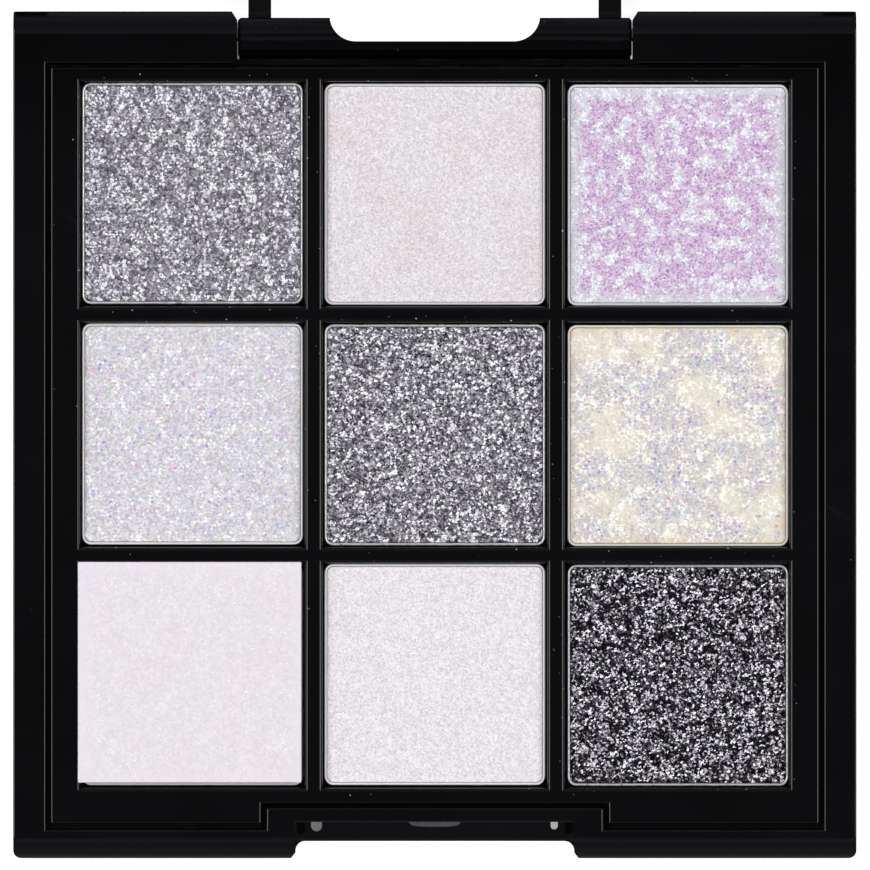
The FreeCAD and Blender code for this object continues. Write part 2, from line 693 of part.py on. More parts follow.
# ---------------------------------------------------------------- pans, cakes and glue dots
def pan_centre(column, row):
    """The centre of a pan, which sits slightly off centre in its well."""
    x = dims.pitch_x * column + dims.shift_x * max(column, 0)
    y = (dims.pitch_y * row - dims.shift_y * column
         + dims.shift_front * (1 if row < 0 and column >= 0 else 0))
    return x, y


def build_pan(column, row, spot):
    name = "pan_" + spot
    pan = new_body(name)
    sk = sketch(pan, name + "_sketch")
    rect(sk, -pan_half, -pan_half, pan_half, pan_half)
    pad(pan, sk, dims.pan_h, name + "_block")
    fillet(pan, taller_than(1), dims.pan_corner, name + "_corners")
    fillet(pan, flat_at(0), dims.pan_foot, name + "_foot")
    sk = sketch(pan, name + "_inside_sketch", "XY_Plane", dims.pan_h)
    edge = pan_inner
    bend = edge - pan_inner_corner            # centres of the corner arcs
    low_edge, low_bend = -edge, -edge + pan_inner_corner
    outline(sk, [
        (bend, low_edge), (edge, low_bend, bend, low_bend, True),
        (edge, bend), (bend, edge, bend, bend, True),
        (low_bend, edge), (low_edge, bend, low_bend, bend, True),
        (low_edge, low_bend), (low_bend, low_edge, low_bend, low_bend, True),
    ])
    cut(pan, sk, dims.pan_h - dims.pan_t, name + "_inside")
    place(pan, *pan_centre(column, row), pan_z)
    return pan


def overfill(cake):
    """A sharp-cornered cap over the pan's rim, and a lip that laps onto the well's rounded edge."""
    cap_z = pan_z + dims.pan_h
    sk = sketch(cake, "cake_cap_sketch", "XY_Plane", cap_z - cake_z)
    rect(sk, *CAP_RECT)
    pad(cake, sk, dims.tray_top - pan_z - dims.pan_h, "cake_cap")
    lip_z = dims.tray_top - cake_z
    sk = sketch(cake, "cake_lip_sketch", "XY_Plane", lip_z)
    rect(sk, *LIP_RECT)
    pad(cake, sk, dims.lip_t, "cake_lip")
    fillet(cake, flat_at(lip_z + dims.lip_t), dims.lip_round, "cake_cap_round")


def build_cake(column, row, spot, shade, fill):
    name = "cake_" + spot
    cake = new_body("shade_%s_%s" % (spot, shade))
    sk = sketch(cake, name + "_sketch")
    half = pan_inner - dims.cake_gap
    rect(sk, -half, -half, half, half)
    height = Size.of(fill) - cake_z
    pad(cake, sk, height, name + "_block")
    fillet(cake, taller_than(1), pan_inner_corner, name + "_corners")
    if spot == OVERFILLED:
        overfill(cake)
    else:
        fillet(cake, flat_at(height), dims.cake_round, name + "_round")
    place(cake, *pan_centre(column, row), cake_z)
    return cake


def build_glue():
    dots = [cylinder("glue_dot", dims.glue_r, dims.glue_t,
                     dims.pitch_x * column, dims.pitch_y * row, dims.well_floor)
            for column, row in GRID]
    glue = doc.addObject("Part::Compound", "pan_glue_dots")
    glue.Links = dots
    check()
    return glue


# ---------------------------------------------------------------- hinge pins
def build_pin(side, sign):
    outer = half_w - dims.pin_inset
    x = -outer if sign < 0 else outer - dims.pin_len
    pin = cylinder("hinge_pin_" + side, dims.pin_r, dims.pin_len, x, hinge_y, hinge_z,
                   along_x=True)
    check()
    return pin


# ---------------------------------------------------------------- lid, drawn closed
def lid_panel(lid):
    """The lid's shell: panel, side walls, and the border with the mirror's pocket."""
    back, wall = dims.lid_back, dims.lid_wall
    sk = sketch(lid, "lid_sketch", "XY_Plane", lid_low)
    rect(sk, -half_w, -half_d, half_w, back)
    pad(lid, sk, dims.lid_t, "lid_block")
    fillet(lid, taller_than(3), dims.case_corner, "lid_corners")
    fillet(lid, flat_at(lid_high), dims.lid_round, "lid_outer_round")
    sk = sketch(lid, "lid_inside_sketch", "XY_Plane", lid_low)
    rect(sk, -half_w + wall, -half_d + wall, half_w - wall, back - wall)
    cut(lid, sk, dims.lid_border, "lid_inside", reverse=True)
    fillet(lid, lambda box: (box.ZLength > 1 and upright(box)
                             and near(abs(box.Center.x), half_w - wall)),
           dims.lid_in_corner, "lid_inside_corners")

    gap, mirror_hw = dims.mirror_gap, dims.mirror_hw
    sk = sketch(lid, "mirror_pocket_sketch", "XY_Plane", border_z)
    rect(sk, -mirror_hw - gap, -dims.mirror_front - gap, mirror_hw + gap, dims.mirror_back + gap)
    cut(lid, sk, dims.lid_t - dims.lid_skin - dims.lid_border, "mirror_pocket", reverse=True)
    reach = 47.0  # X between the pocket's corners and the lid's inner walls
    fillet(lid, lambda box: (box.ZMin > float(border_z) - 0.01 and 0.5 < box.ZLength < 1.5
                             and upright(box) and abs(box.Center.x) < reach),
           dims.mirror_bed_corner, "mirror_pocket_corners")
    fillet(lid, flat_at(lid_low), dims.lid_lip, "lid_lip_round")


def lid_hinge(lid):
    """The arms, and the tongue made of two lobes and the bar that joins them."""
    # Curved arms from the lid's back wall over to the lobes. The outline's points are set from
    # the wall's back face or the hinge axis in Y, and from the lid or the hinge axis in Z.
    back = dims.lid_back
    root_y, arm_top = back - dims.arm_root, lid_high - dims.arm_below
    arm_back, bend_y, bend_z = hinge_y + 2.0, hinge_y - 2.55, hinge_z + 1.7
    for side, sign in SIDES:
        x0 = dims.arm_in if sign > 0 else -dims.arm_out
        sk = sketch(lid, "arm_%s_sketch" % side, "YZ_Plane", x0)
        outline(sk, [
            (root_y, lid_low + 0.25), (back + 1.6, lid_low + 0.15),
            (hinge_y - 1.6, hinge_z + 1.1, back + 1.5, hinge_z + 1.3, False),
            (hinge_y - 0.9, hinge_z - 0.3), (arm_back, hinge_z), (arm_back, bend_z),
            (bend_y, arm_top, bend_y, bend_z, True),
            (root_y, arm_top),
        ])
        pad(lid, sk, dims.arm_out - dims.arm_in, "arm_" + side)

    tongue_hw, lobe_in, lobe_r = dims.tongue_hw, dims.lobe_in, dims.lobe_r
    for side, sign in SIDES:
        x0 = lobe_in if sign > 0 else -tongue_hw
        sk = sketch(lid, "lobe_%s_sketch" % side, "YZ_Plane", x0)
        hinge_circle(sk, lobe_r)
        pad(lid, sk, tongue_hw - lobe_in, "lobe_" + side)

    # A round bar with its front face flat and its underside level with the lobes.
    bar_off, bar_r = dims.bar_off, dims.bar_r
    bar_top = (bar_r * bar_r - bar_off * bar_off).root()
    bar_back = (bar_r * bar_r - lobe_r * lobe_r).root()
    sk = sketch(lid, "bar_sketch", "YZ_Plane", -tongue_hw)
    outline(sk, [
        (hinge_y + bar_off, hinge_z - lobe_r), (hinge_y + bar_back, hinge_z - lobe_r),
        (hinge_y + bar_off, hinge_z + bar_top, hinge_y, hinge_z, True),
    ])
    pad(lid, sk, tongue_hw * 2, "bar")
    chamfer(lid, lambda box: box.XLength < 0.01 and near(abs(box.Center.x), tongue_hw),
            dims.tongue_chamfer, "tongue_ends")


def lid_latch(lid):
    """The latch flap at the front, with a bead on its inner face."""
    flap_hw, inner = dims.flap_hw, -dims.flap_in
    outer = inner - dims.flap_t
    sk = sketch(lid, "flap_sketch", "XY_Plane", dims.flap_bottom)
    rect(sk, -flap_hw, outer, flap_hw, inner)
    pad(lid, sk, border_z + ROOT - dims.flap_bottom, "latch_flap")
    fillet(lid, vertical_at((-flap_hw, outer), (flap_hw, outer)), dims.flap_corner,
           "flap_corners")
    crest = inner + dims.bead_out
    sk = sketch(lid, "bead_sketch", "XY_Plane", dims.bead_z)
    rect(sk, -dims.bead_hw, inner - ROOT, dims.bead_hw, crest)
    pad(lid, sk, dims.bead_t, "latch_bead")
    fillet(lid, lambda box: (box.XLength > 5 and box.YLength < 0.01 and box.ZLength < 0.01
                             and near(box.Center.y, crest)),
           dims.bead_edge, "bead_round")


def lobe_web(side, sign):
    """The round shoulder between a lobe and the bar, trimmed to the lobe's radius."""
    web_r, lobe_r, lobe_in = dims.web_r, dims.lobe_r, dims.lobe_in
    y, z = hinge_y + dims.bar_off - web_r, hinge_z - lobe_r
    block = doc.addObject("Part::Box", "web_box_" + side)
    bind(block, "Length", web_r)
    bind(block, "Width", web_r)
    bind(block, "Height", lobe_r * 2)
    place(block, lobe_in - web_r if sign > 0 else -lobe_in, y, z)
    hollow = cylinder("web_round_" + side, web_r, lobe_r * 2 + OVER * 2,
                      (lobe_in - web_r) * sign, y, z - OVER)
    corner = doc.addObject("Part::Cut", "web_cut_" + side)
    corner.Base, corner.Tool = block, hollow
    rod = cylinder("web_rod_" + side, lobe_r, lobe_in * 2, -lobe_in, hinge_y, hinge_z,
                   along_x=True)
    web = doc.addObject("Part::Common", "web_" + side)
    web.Base, web.Tool = corner, rod
    check()
    return web


def build_lid():
    lid = new_body("lid_body")
    lid_panel(lid)
    lid_hinge(lid)
    lid_latch(lid)
    # Blind pin bores, from the outer end of each lobe.
    for side, sign in SIDES:
        hinge_bore(lid, "lid_bore_" + side, sign, dims.tongue_hw + SHORT_OVER,
                   dims.pin_bore_lid, dims.lid_bore_depth + SHORT_OVER)
    webs = [lobe_web(side, sign) for side, sign in SIDES]
    shell = doc.addObject("Part::MultiFuse", "lid_shell")
    shell.Shapes = [lid] + webs
    shell.Refine = True
    check()
    return shell


def build_tape():
    tape = new_body("mirror_tape")
    half, inset = dims.mirror_hw, dims.tape_inset
    sk = sketch(tape, "tape_sketch", "XY_Plane", tape_z)
    rect(sk, -half + inset, -dims.mirror_front + inset, half - inset, dims.mirror_back - inset)
    pad(tape, sk, dims.tape_t, "tape_sheet")
    return tape


def build_mirror():
    mirror = new_body("lid_mirror")
    face_z = tape_z - dims.mirror_t
    sk = sketch(mirror, "mirror_sketch", "XY_Plane", face_z)
    rect(sk, -dims.mirror_hw, -dims.mirror_front, dims.mirror_hw, dims.mirror_back)
    pad(mirror, sk, dims.mirror_t, "mirror_sheet")
    fillet(mirror, taller_than(1), dims.mirror_corner, "mirror_corners")
    chamfer(mirror, flat_at(face_z), dims.mirror_bevel, "mirror_bevel")
    return mirror


# ---------------------------------------------------------------- assembly
parts = {"base_case": build_case(), "pan_tray": build_tray()}
for column, row, spot, shade, fill in SHADES:
    parts["pan_" + spot] = build_pan(column, row, spot)
    parts["shade_%s_%s" % (spot, shade)] = build_cake(column, row, spot, shade, fill)
parts["pan_glue_dots"] = build_glue()
for side, sign in SIDES:
    parts["hinge_pin_" + side] = build_pin(side, sign)

# The lid's pieces lie fully open: half a turn about the hinge axis from the closed position.
for label, build in (("lid_shell", build_lid), ("mirror_tape", build_tape),
                     ("lid_mirror", build_mirror)):
    parts[label] = build()
    place(parts[label], 0, hinge_y * 2, hinge_z * 2, FreeCAD.Rotation(V(1, 0, 0), 180))

# ---------------------------------------------------------------- export
check()
os.makedirs("parts", exist_ok=True)
for old in os.listdir("parts"):
    if old.endswith(".step"):
        os.remove(os.path.join("parts", old))
for label, obj in parts.items():
    shape = obj.Shape
    if shape.isNull() or not shape.isValid() or not shape.Solids:
        raise RuntimeError("%s has no valid solid" % label)
    shape.exportStep("parts/%s.step" % label)
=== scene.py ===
"""A flat makeup palette: a black case with nine square pans of pressed powder, and a mirrored lid.

It lies flat with z up and the floor just under z = 0. The grid of pans is centred on the origin,
three across in x and three deep in y. The front is at -y and the hinge at +y.
Meshes are worked out in millimetres and built in metres. Material sizes are in metres.
"""
import bpy
import json
import math
import numpy as np
from types import SimpleNamespace
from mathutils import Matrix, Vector

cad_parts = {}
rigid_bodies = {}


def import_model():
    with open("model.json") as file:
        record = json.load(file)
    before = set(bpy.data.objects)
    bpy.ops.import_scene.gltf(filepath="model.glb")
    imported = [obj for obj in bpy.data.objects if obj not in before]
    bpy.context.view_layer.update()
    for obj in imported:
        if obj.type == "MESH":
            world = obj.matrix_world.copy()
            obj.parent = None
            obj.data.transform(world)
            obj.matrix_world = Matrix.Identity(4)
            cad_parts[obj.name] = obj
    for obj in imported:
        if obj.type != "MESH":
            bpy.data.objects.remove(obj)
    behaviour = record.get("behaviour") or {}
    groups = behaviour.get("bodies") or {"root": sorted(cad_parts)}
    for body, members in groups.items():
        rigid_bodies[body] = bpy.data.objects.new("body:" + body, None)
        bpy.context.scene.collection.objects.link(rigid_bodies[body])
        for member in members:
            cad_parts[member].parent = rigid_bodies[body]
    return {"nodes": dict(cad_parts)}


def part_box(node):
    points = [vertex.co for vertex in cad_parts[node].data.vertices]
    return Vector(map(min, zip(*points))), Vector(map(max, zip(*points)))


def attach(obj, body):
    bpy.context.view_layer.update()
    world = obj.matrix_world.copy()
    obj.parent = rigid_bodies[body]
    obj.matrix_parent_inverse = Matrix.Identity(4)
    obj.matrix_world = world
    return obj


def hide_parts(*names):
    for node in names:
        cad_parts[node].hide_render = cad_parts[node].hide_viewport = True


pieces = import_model()["nodes"]
MM = 0.001

# ------------------------------------------------------------------ sizes, in millimetres

GRID_SAMPLES = 150  # samples along each side of a cake's top
CAKE_CORNER = 0.8

PAN_WALL = 0.30
PAN_FOOT = 0.5  # radius between floor and wall
PAN_CHAMFER = 0.15  # inside, between floor and wall
PAN_FLOOR_REACH = 3.0  # how far the swept section runs in over the floor
PAN_CORNER = 1.1
PAN_STEADY = 2.0  # the wall is exact up to this height, and its rim wavers above it
PAN_WAVER = 0.018

# The overfilled cake at the front left: a body in the pan, a wider fill and a thin cap
BODY_INSET = 0.36
BODY_RISE = 0.05  # above the pan's rim
FILL_SIDES = (-13.28, -12.82, 12.95, 13.18)  # left, front, right, back from the pan's centre
FILL_CORNER = 0.15
CAP_DEPTH = 0.15
UNDER_SAMPLES = 24
UNDER_RELIEF = [(8, 0.001)]

# Loose flakes lie round each well, on the tray's rounded lip or its flat top
WELL_PITCH = (28.8, 28.6)
LIP_OUT = 13.75  # from the well's centre to the centre of the lip's round
LIP_CENTRE_Z = 9.30
LIP_ROUND = 0.40
FLAKE_OUT = (13.42, 0.85)  # nearest distance from the well's centre, and the spread beyond it
FLAKE_RUN = 12.6  # half the length they spread over along a side
FLAKE_RADIUS = (0.04, 0.06)  # smallest, and the spread above it
FLAKE_LEVELS = (0.004, 0.022)  # underside and top, above the tray

# ------------------------------------------------------------------ the nine powders

# Colours are 0 to 255 as they show in this light; a ramp is a list of (position, colour).
#   gain: brightness; specular: specular level; metal: how metallic the bare powder is
#   grain, clump_size, zone_size: widths of the grains, the clumps and the broad zones
#   base: ramp over the grains; base_clump: how far clumps shift a grain along it
#   fine: darkening by the finest grain; grain_tilt: how far grains lean
#   clouds: (mask, from, to, amount, colour); border: width of the ragged border
#   patch: (amount, tint, from, to) over the zones; edge: (amount, colour) over the border
# Each layer of flakes:
#   size: cell width; radius: in cells; shift: pattern offset; warp: unevenness
#   stretch: (turn, squeeze); density: share of cells filled; zone: zones that carry flakes
#   clump, border: change of density there; cover: opacity; tilt, metal, rough: surface
#   ring and ring colour: strength and colour of the painted shadow just outside the flake
POWDERS = {
    "back_left": dict(
        gain=1.22, specular=0.25, grain=0.00021, clump_size=0.0017, base_clump=0.5, fine=0.40,
        grain_tilt=0.30, metal=0.30, zone_size=0.007,
        base=[(0.0, (70, 67, 74)), (0.3, (104, 101, 109)), (0.6, (140, 137, 145)),
              (1.0, (182, 179, 186))],
        layers=[
            dict(size=0.00034, density=0.50, clump=0.7, radius=0.44, warp=0.6, tilt=0.30,
                 metal=0.40, ring=0.5, shadow_ring_col=(72, 68, 76), rough=0.36,
                 ramp=[(0.0, (112, 109, 117)), (0.4, (150, 147, 155)),
                       (0.75, (186, 183, 190)), (1.0, (212, 209, 216))]),
            dict(size=0.00036, shift=0.03, density=0.24, clump=0.3, radius=0.36, warp=0.6,
                 tilt=0.20, metal=0.2, cover=0.85,
                 ramp=[(0.0, (50, 46, 56)), (1.0, (96, 92, 104))]),
            dict(size=0.00046, shift=0.07, density=0.17, clump=1.7, radius=0.44, warp=0.5,
                 tilt=0.14, metal=0.10, ring=0.45, shadow_ring_col=(84, 80, 88), border=-0.20,
                 ramp=[(0.0, (205, 203, 210)), (0.45, (240, 238, 244)), (1.0, (255, 254, 255))]),
            dict(size=0.00030, shift=0.19, density=0.10, clump=0.8, radius=0.42, warp=0.4,
                 tilt=0.14, ring=0.4, shadow_ring_col=(90, 86, 94), border=-0.10,
                 ramp=[(0.0, (214, 212, 218)), (1.0, (255, 254, 255))])],
        patch=(0.45, (0.78, 0.76, 0.82), 0.48, 0.62)),
    "back_centre": dict(
        gain=1.04, grain=0.00018, clump_size=0.0013, base_clump=0.12, fine=0.18,
        grain_tilt=0.22, zone_size=0.007, border=0.0006,
        base=[(0.0, (204, 196, 200)), (0.3, (217, 210, 215)), (0.65, (229, 223, 228)),
              (1.0, (244, 240, 243))],
        layers=[
            dict(size=0.00018, density=0.24, clump=0.15, radius=0.42, stretch=(0.9, 0.5),
                 tilt=0.24, cover=0.75,
                 ramp=[(0.0, (204, 196, 199)), (0.5, (234, 229, 232)), (1.0, (252, 249, 249))]),
            dict(size=0.00018, shift=0.07, density=0.20, clump=0.15, radius=0.42,
                 stretch=(-0.6, 0.5), tilt=0.24, cover=0.75,
                 ramp=[(0.0, (208, 201, 205)), (0.5, (240, 236, 238)), (1.0, (255, 253, 252))])],
        patch=(0.9, (0.985, 0.94, 0.92), 0.50, 0.64), edge=(0.35, (236, 236, 237))),
    "back_right": dict(
        gain=1.01, grain=0.00020, clump_size=0.0016, base_clump=0.35, fine=0.14,
        grain_tilt=0.14, border=0.0019,
        base=[(0.0, (170, 144, 184)), (0.3, (202, 176, 206)), (0.6, (219, 199, 220)),
              (1.0, (234, 222, 233))],
        clouds=[("clump", 0.50, 0.62, 0.62, (212, 217, 221)),
                ("border", 0.2, 0.9, 0.80, (208, 211, 214))],
        layers=[
            dict(size=0.00024, density=0.62, clump=-2.2, radius=0.44, warp=0.3, tilt=0.12,
                 border=0.75, cover=0.85, ring=0.35, shadow_ring_col=(150, 116, 168),
                 ramp=[(0.0, (132, 104, 176)), (0.15, (176, 122, 178)), (0.35, (206, 166, 206)),
                       (0.7, (224, 196, 224)), (1.0, (236, 218, 236))]),
            dict(size=0.00036, shift=0.05, density=0.09, clump=2.6, radius=0.47, warp=0.5,
                 tilt=0.10, ring=0.25, shadow_ring_col=(188, 182, 200), border=-0.14,
                 ramp=[(0.0, (216, 228, 234)), (0.4, (234, 244, 246)), (0.7, (240, 236, 248)),
                       (1.0, (254, 255, 255))]),
            dict(size=0.00030, shift=0.23, density=0.06, clump=1.8, radius=0.45, warp=0.4,
                 tilt=0.10, ring=0.2, shadow_ring_col=(190, 184, 204), border=-0.16,
                 ramp=[(0.0, (226, 236, 238)), (0.6, (246, 250, 246)), (1.0, (255, 255, 255))]),
            dict(size=0.00034, shift=0.11, density=0.06, clump=-0.3, radius=0.30, tilt=0.1,
                 cover=0.9,
                 ramp=[(0.0, (132, 104, 190)), (0.4, (176, 112, 176)), (0.6, (206, 104, 150)),
                       (1.0, (116, 136, 204))])],
        edge=(0.25, (214, 216, 220))),
    "middle_left": dict(
        gain=1.04, grain=0.00022, clump_size=0.0020, base_clump=0.35, fine=0.16,
        grain_tilt=0.20, border=0.0010,
        base=[(0.0, (184, 180, 183)), (0.35, (205, 202, 205)), (0.7, (222, 220, 222)),
              (1.0, (240, 238, 240))],
        layers=[
            dict(size=0.00036, density=0.42, clump=0.6, radius=0.42, warp=0.5, tilt=0.18,
                 ring=0.55, shadow_ring_col=(172, 168, 175), border=0.3, cover=0.78,
                 ramp=[(0.0, (202, 200, 207)), (0.5, (222, 221, 226)), (1.0, (240, 239, 240))]),
            dict(size=0.00044, shift=0.09, density=0.15, clump=0.6, radius=0.42, warp=0.4,
                 tilt=0.10, ring=0.35, shadow_ring_col=(190, 187, 194),
                 ramp=[(0.0, (238, 238, 238)), (0.5, (248, 250, 250)), (0.8, (255, 252, 236)),
                       (1.0, (255, 255, 255))]),
            dict(size=0.00044, shift=0.13, density=0.17, clump=0.6, radius=0.38, warp=0.2,
                 tilt=0.08, border=0.05, cover=0.9, ring=0.25, shadow_ring_col=(190, 184, 200),
                 ramp=[(0.0, (146, 142, 198)), (0.25, (182, 174, 222)), (0.5, (200, 186, 226)),
                       (0.58, (222, 140, 200)), (0.72, (212, 176, 216)),
                       (0.85, (172, 190, 222)), (1.0, (186, 206, 222))])],
        edge=(0.25, (226, 223, 214))),
    "middle_centre": dict(
        gain=1.25, specular=0.1, grain=0.00020, clump_size=0.0012, base_clump=0.6, fine=0.40,
        grain_tilt=0.32, metal=0.3, zone_size=0.006,
        base=[(0.0, (40, 38, 43)), (0.3, (84, 81, 88)), (0.65, (130, 127, 134)),
              (1.0, (176, 173, 180))],
        layers=[
            dict(size=0.00029, density=0.52, clump=0.7, radius=0.44, warp=0.6,
                 stretch=(0.7, 0.7), tilt=0.32, metal=0.4, ring=0.55, shadow_ring_col=(44, 41, 48),
                 rough=0.34,
                 ramp=[(0.0, (98, 95, 102)), (0.35, (142, 139, 146)), (0.7, (180, 177, 184)),
                       (1.0, (210, 207, 213))]),
            dict(size=0.00031, shift=0.03, density=0.34, clump=0.5, radius=0.38, warp=0.5,
                 tilt=0.20, metal=0.05, cover=0.95,
                 ramp=[(0.0, (10, 8, 13)), (0.6, (38, 35, 42)), (1.0, (74, 70, 78))]),
            dict(size=0.00032, shift=0.07, density=0.25, clump=1.2, radius=0.44, warp=0.6,
                 stretch=(-0.5, 0.7), tilt=0.16, metal=0.10, ring=0.45, shadow_ring_col=(48, 45, 52),
                 border=-0.18,
                 ramp=[(0.0, (198, 196, 203)), (0.5, (232, 230, 236)), (1.0, (255, 254, 255))])],
        patch=(0.30, (0.84, 0.80, 0.84), 0.50, 0.62)),
    "middle_right": dict(
        gain=1.03, grain=0.00021, clump_size=0.0021, base_clump=0.4, fine=0.16,
        grain_tilt=0.18, border=0.0012, zone_size=0.0070,
        base=[(0.0, (188, 183, 176)), (0.35, (208, 203, 195)), (0.7, (224, 219, 210)),
              (1.0, (242, 237, 226))],
        clouds=[("zone", 0.46, 0.36, 0.45, (241, 233, 209)),
                ("border", 0.3, 0.9, 0.45, (226, 212, 178))],
        layers=[
            dict(size=0.00034, density=0.60, clump=0.2, zone=(0.42, 0.50), radius=0.43,
                 warp=0.4, tilt=0.15, ring=0.55, shadow_ring_col=(168, 166, 170), cover=0.8,
                 ramp=[(0.0, (196, 200, 206)), (0.5, (220, 220, 223)), (1.0, (240, 238, 234))]),
            dict(size=0.00048, shift=0.05, density=0.24, clump=2.0, radius=0.48, warp=0.5,
                 tilt=0.12, ring=0.20, shadow_ring_col=(212, 202, 182),
                 ramp=[(0.0, (238, 230, 208)), (0.5, (250, 246, 232)), (1.0, (255, 254, 248))]),
            dict(size=0.00036, shift=0.21, density=0.16, clump=1.6, radius=0.46, warp=0.5,
                 tilt=0.12, ring=0.15, shadow_ring_col=(216, 206, 190),
                 ramp=[(0.0, (246, 238, 216)), (1.0, (255, 255, 250))]),
            dict(size=0.00040, shift=0.13, density=0.44, clump=-0.7, zone=(0.46, 0.56),
                 radius=0.38, warp=0.2, tilt=0.08, cover=0.9, ring=0.25,
                 shadow_ring_col=(184, 180, 192),
                 ramp=[(0.0, (138, 134, 184)), (0.3, (178, 168, 210)), (0.45, (204, 144, 176)),
                       (0.55, (214, 176, 200)), (0.75, (168, 192, 216)),
                       (0.9, (172, 210, 208)), (1.0, (206, 202, 218))])],
        edge=(0.30, (214, 200, 168))),
    "front_left": dict(
        gain=1.0, grain=0.00026, clump_size=0.0022, base_clump=0.45, fine=0.05,
        grain_tilt=0.09, border=0.0016, zone_size=0.006,
        base=[(0.0, (221, 216, 218)), (0.5, (229, 224, 226)), (1.0, (236, 231, 233))],
        layers=[
            dict(size=0.00034, density=0.10, clump=0.7, radius=0.30, warp=0.3, tilt=0.16,
                 cover=0.9, border=0.10,
                 ramp=[(0.0, (238, 235, 238)), (1.0, (255, 253, 255))])],
        patch=(0.4, (0.985, 0.975, 0.985), 0.48, 0.60), edge=(0.55, (231, 223, 230))),
    "front_centre": dict(
        gain=1.05, grain=0.00018, clump_size=0.0012, base_clump=0.12, fine=0.14,
        grain_tilt=0.20, border=0.0006,
        base=[(0.0, (206, 200, 202)), (0.3, (222, 216, 218)), (0.65, (233, 228, 229)),
              (1.0, (247, 243, 244))],
        layers=[
            dict(size=0.00021, density=0.30, clump=0.15, radius=0.42, stretch=(1.2, 0.6),
                 tilt=0.22, cover=0.75,
                 ramp=[(0.0, (208, 204, 208)), (0.5, (238, 234, 237)), (1.0, (254, 252, 253))])],
        edge=(0.40, (238, 236, 238))),
    "front_right": dict(
        gain=1.31, specular=0.02, grain=0.00018, clump_size=0.0013, base_clump=0.5, fine=0.4,
        grain_tilt=0.20,
        base=[(0.0, (2, 1, 3)), (0.55, (18, 15, 21)), (0.8, (48, 45, 51)), (1.0, (92, 89, 95))],
        layers=[
            dict(size=0.00022, density=0.46, clump=1.1, radius=0.46, warp=0.7,
                 stretch=(0.8, 0.65), tilt=0.28, metal=0.25, rough=0.36,
                 ramp=[(0.0, (48, 45, 52)), (0.4, (104, 100, 107)), (0.8, (160, 156, 162)),
                       (1.0, (200, 196, 202))]),
            dict(size=0.00023, shift=0.07, density=0.28, clump=1.1, radius=0.46, warp=0.7,
                 stretch=(-0.5, 0.6), tilt=0.16, metal=0.05,
                 ramp=[(0.0, (150, 146, 153)), (0.5, (214, 210, 217)), (1.0, (255, 253, 255))]),
            dict(size=0.00026, shift=0.17, density=0.20, radius=0.40, warp=0.5, tilt=0.10,
                 ramp=[(0.0, (3, 2, 4)), (1.0, (26, 23, 29))])]),
}

# place: (relief of the cake's top as (cell in samples, height in mm),
#         colour of the powder caught on the pan, its least amount, loose flakes round the well)
WELLS = {
    "back_left": ([(1, 0.020), (3, 0.018), (30, 0.02)], (0.55, 0.55, 0.57), 0.15, 26),
    "back_centre": ([(1, 0.008), (3, 0.006), (40, 0.02)], (0.85, 0.80, 0.80), 0.8, 8),
    "back_right": ([(1, 0.014), (3, 0.012), (30, 0.02)], (0.85, 0.84, 0.86), 0.8, 12),
    "middle_left": ([(1, 0.012), (3, 0.010), (36, 0.02)], (0.85, 0.85, 0.86), 0.8, 8),
    "middle_centre": ([(1, 0.022), (3, 0.018), (30, 0.02)], (0.6, 0.6, 0.6), 0.15, 20),
    "middle_right": ([(1, 0.014), (3, 0.012), (30, 0.025)], (0.85, 0.82, 0.74), 0.8, 12),
    "front_left": ([(1, 0.003), (4, 0.003), (50, 0.012)], (0.85, 0.80, 0.83), 0.8, 4),
    "front_centre": ([(1, 0.007), (3, 0.005), (50, 0.012)], (0.85, 0.85, 0.85), 0.8, 8),
    "front_right": ([(1, 0.018), (3, 0.016), (30, 0.02)], (0.45, 0.45, 0.45), 0.15, 26),
}

# ------------------------------------------------------------------ node helpers


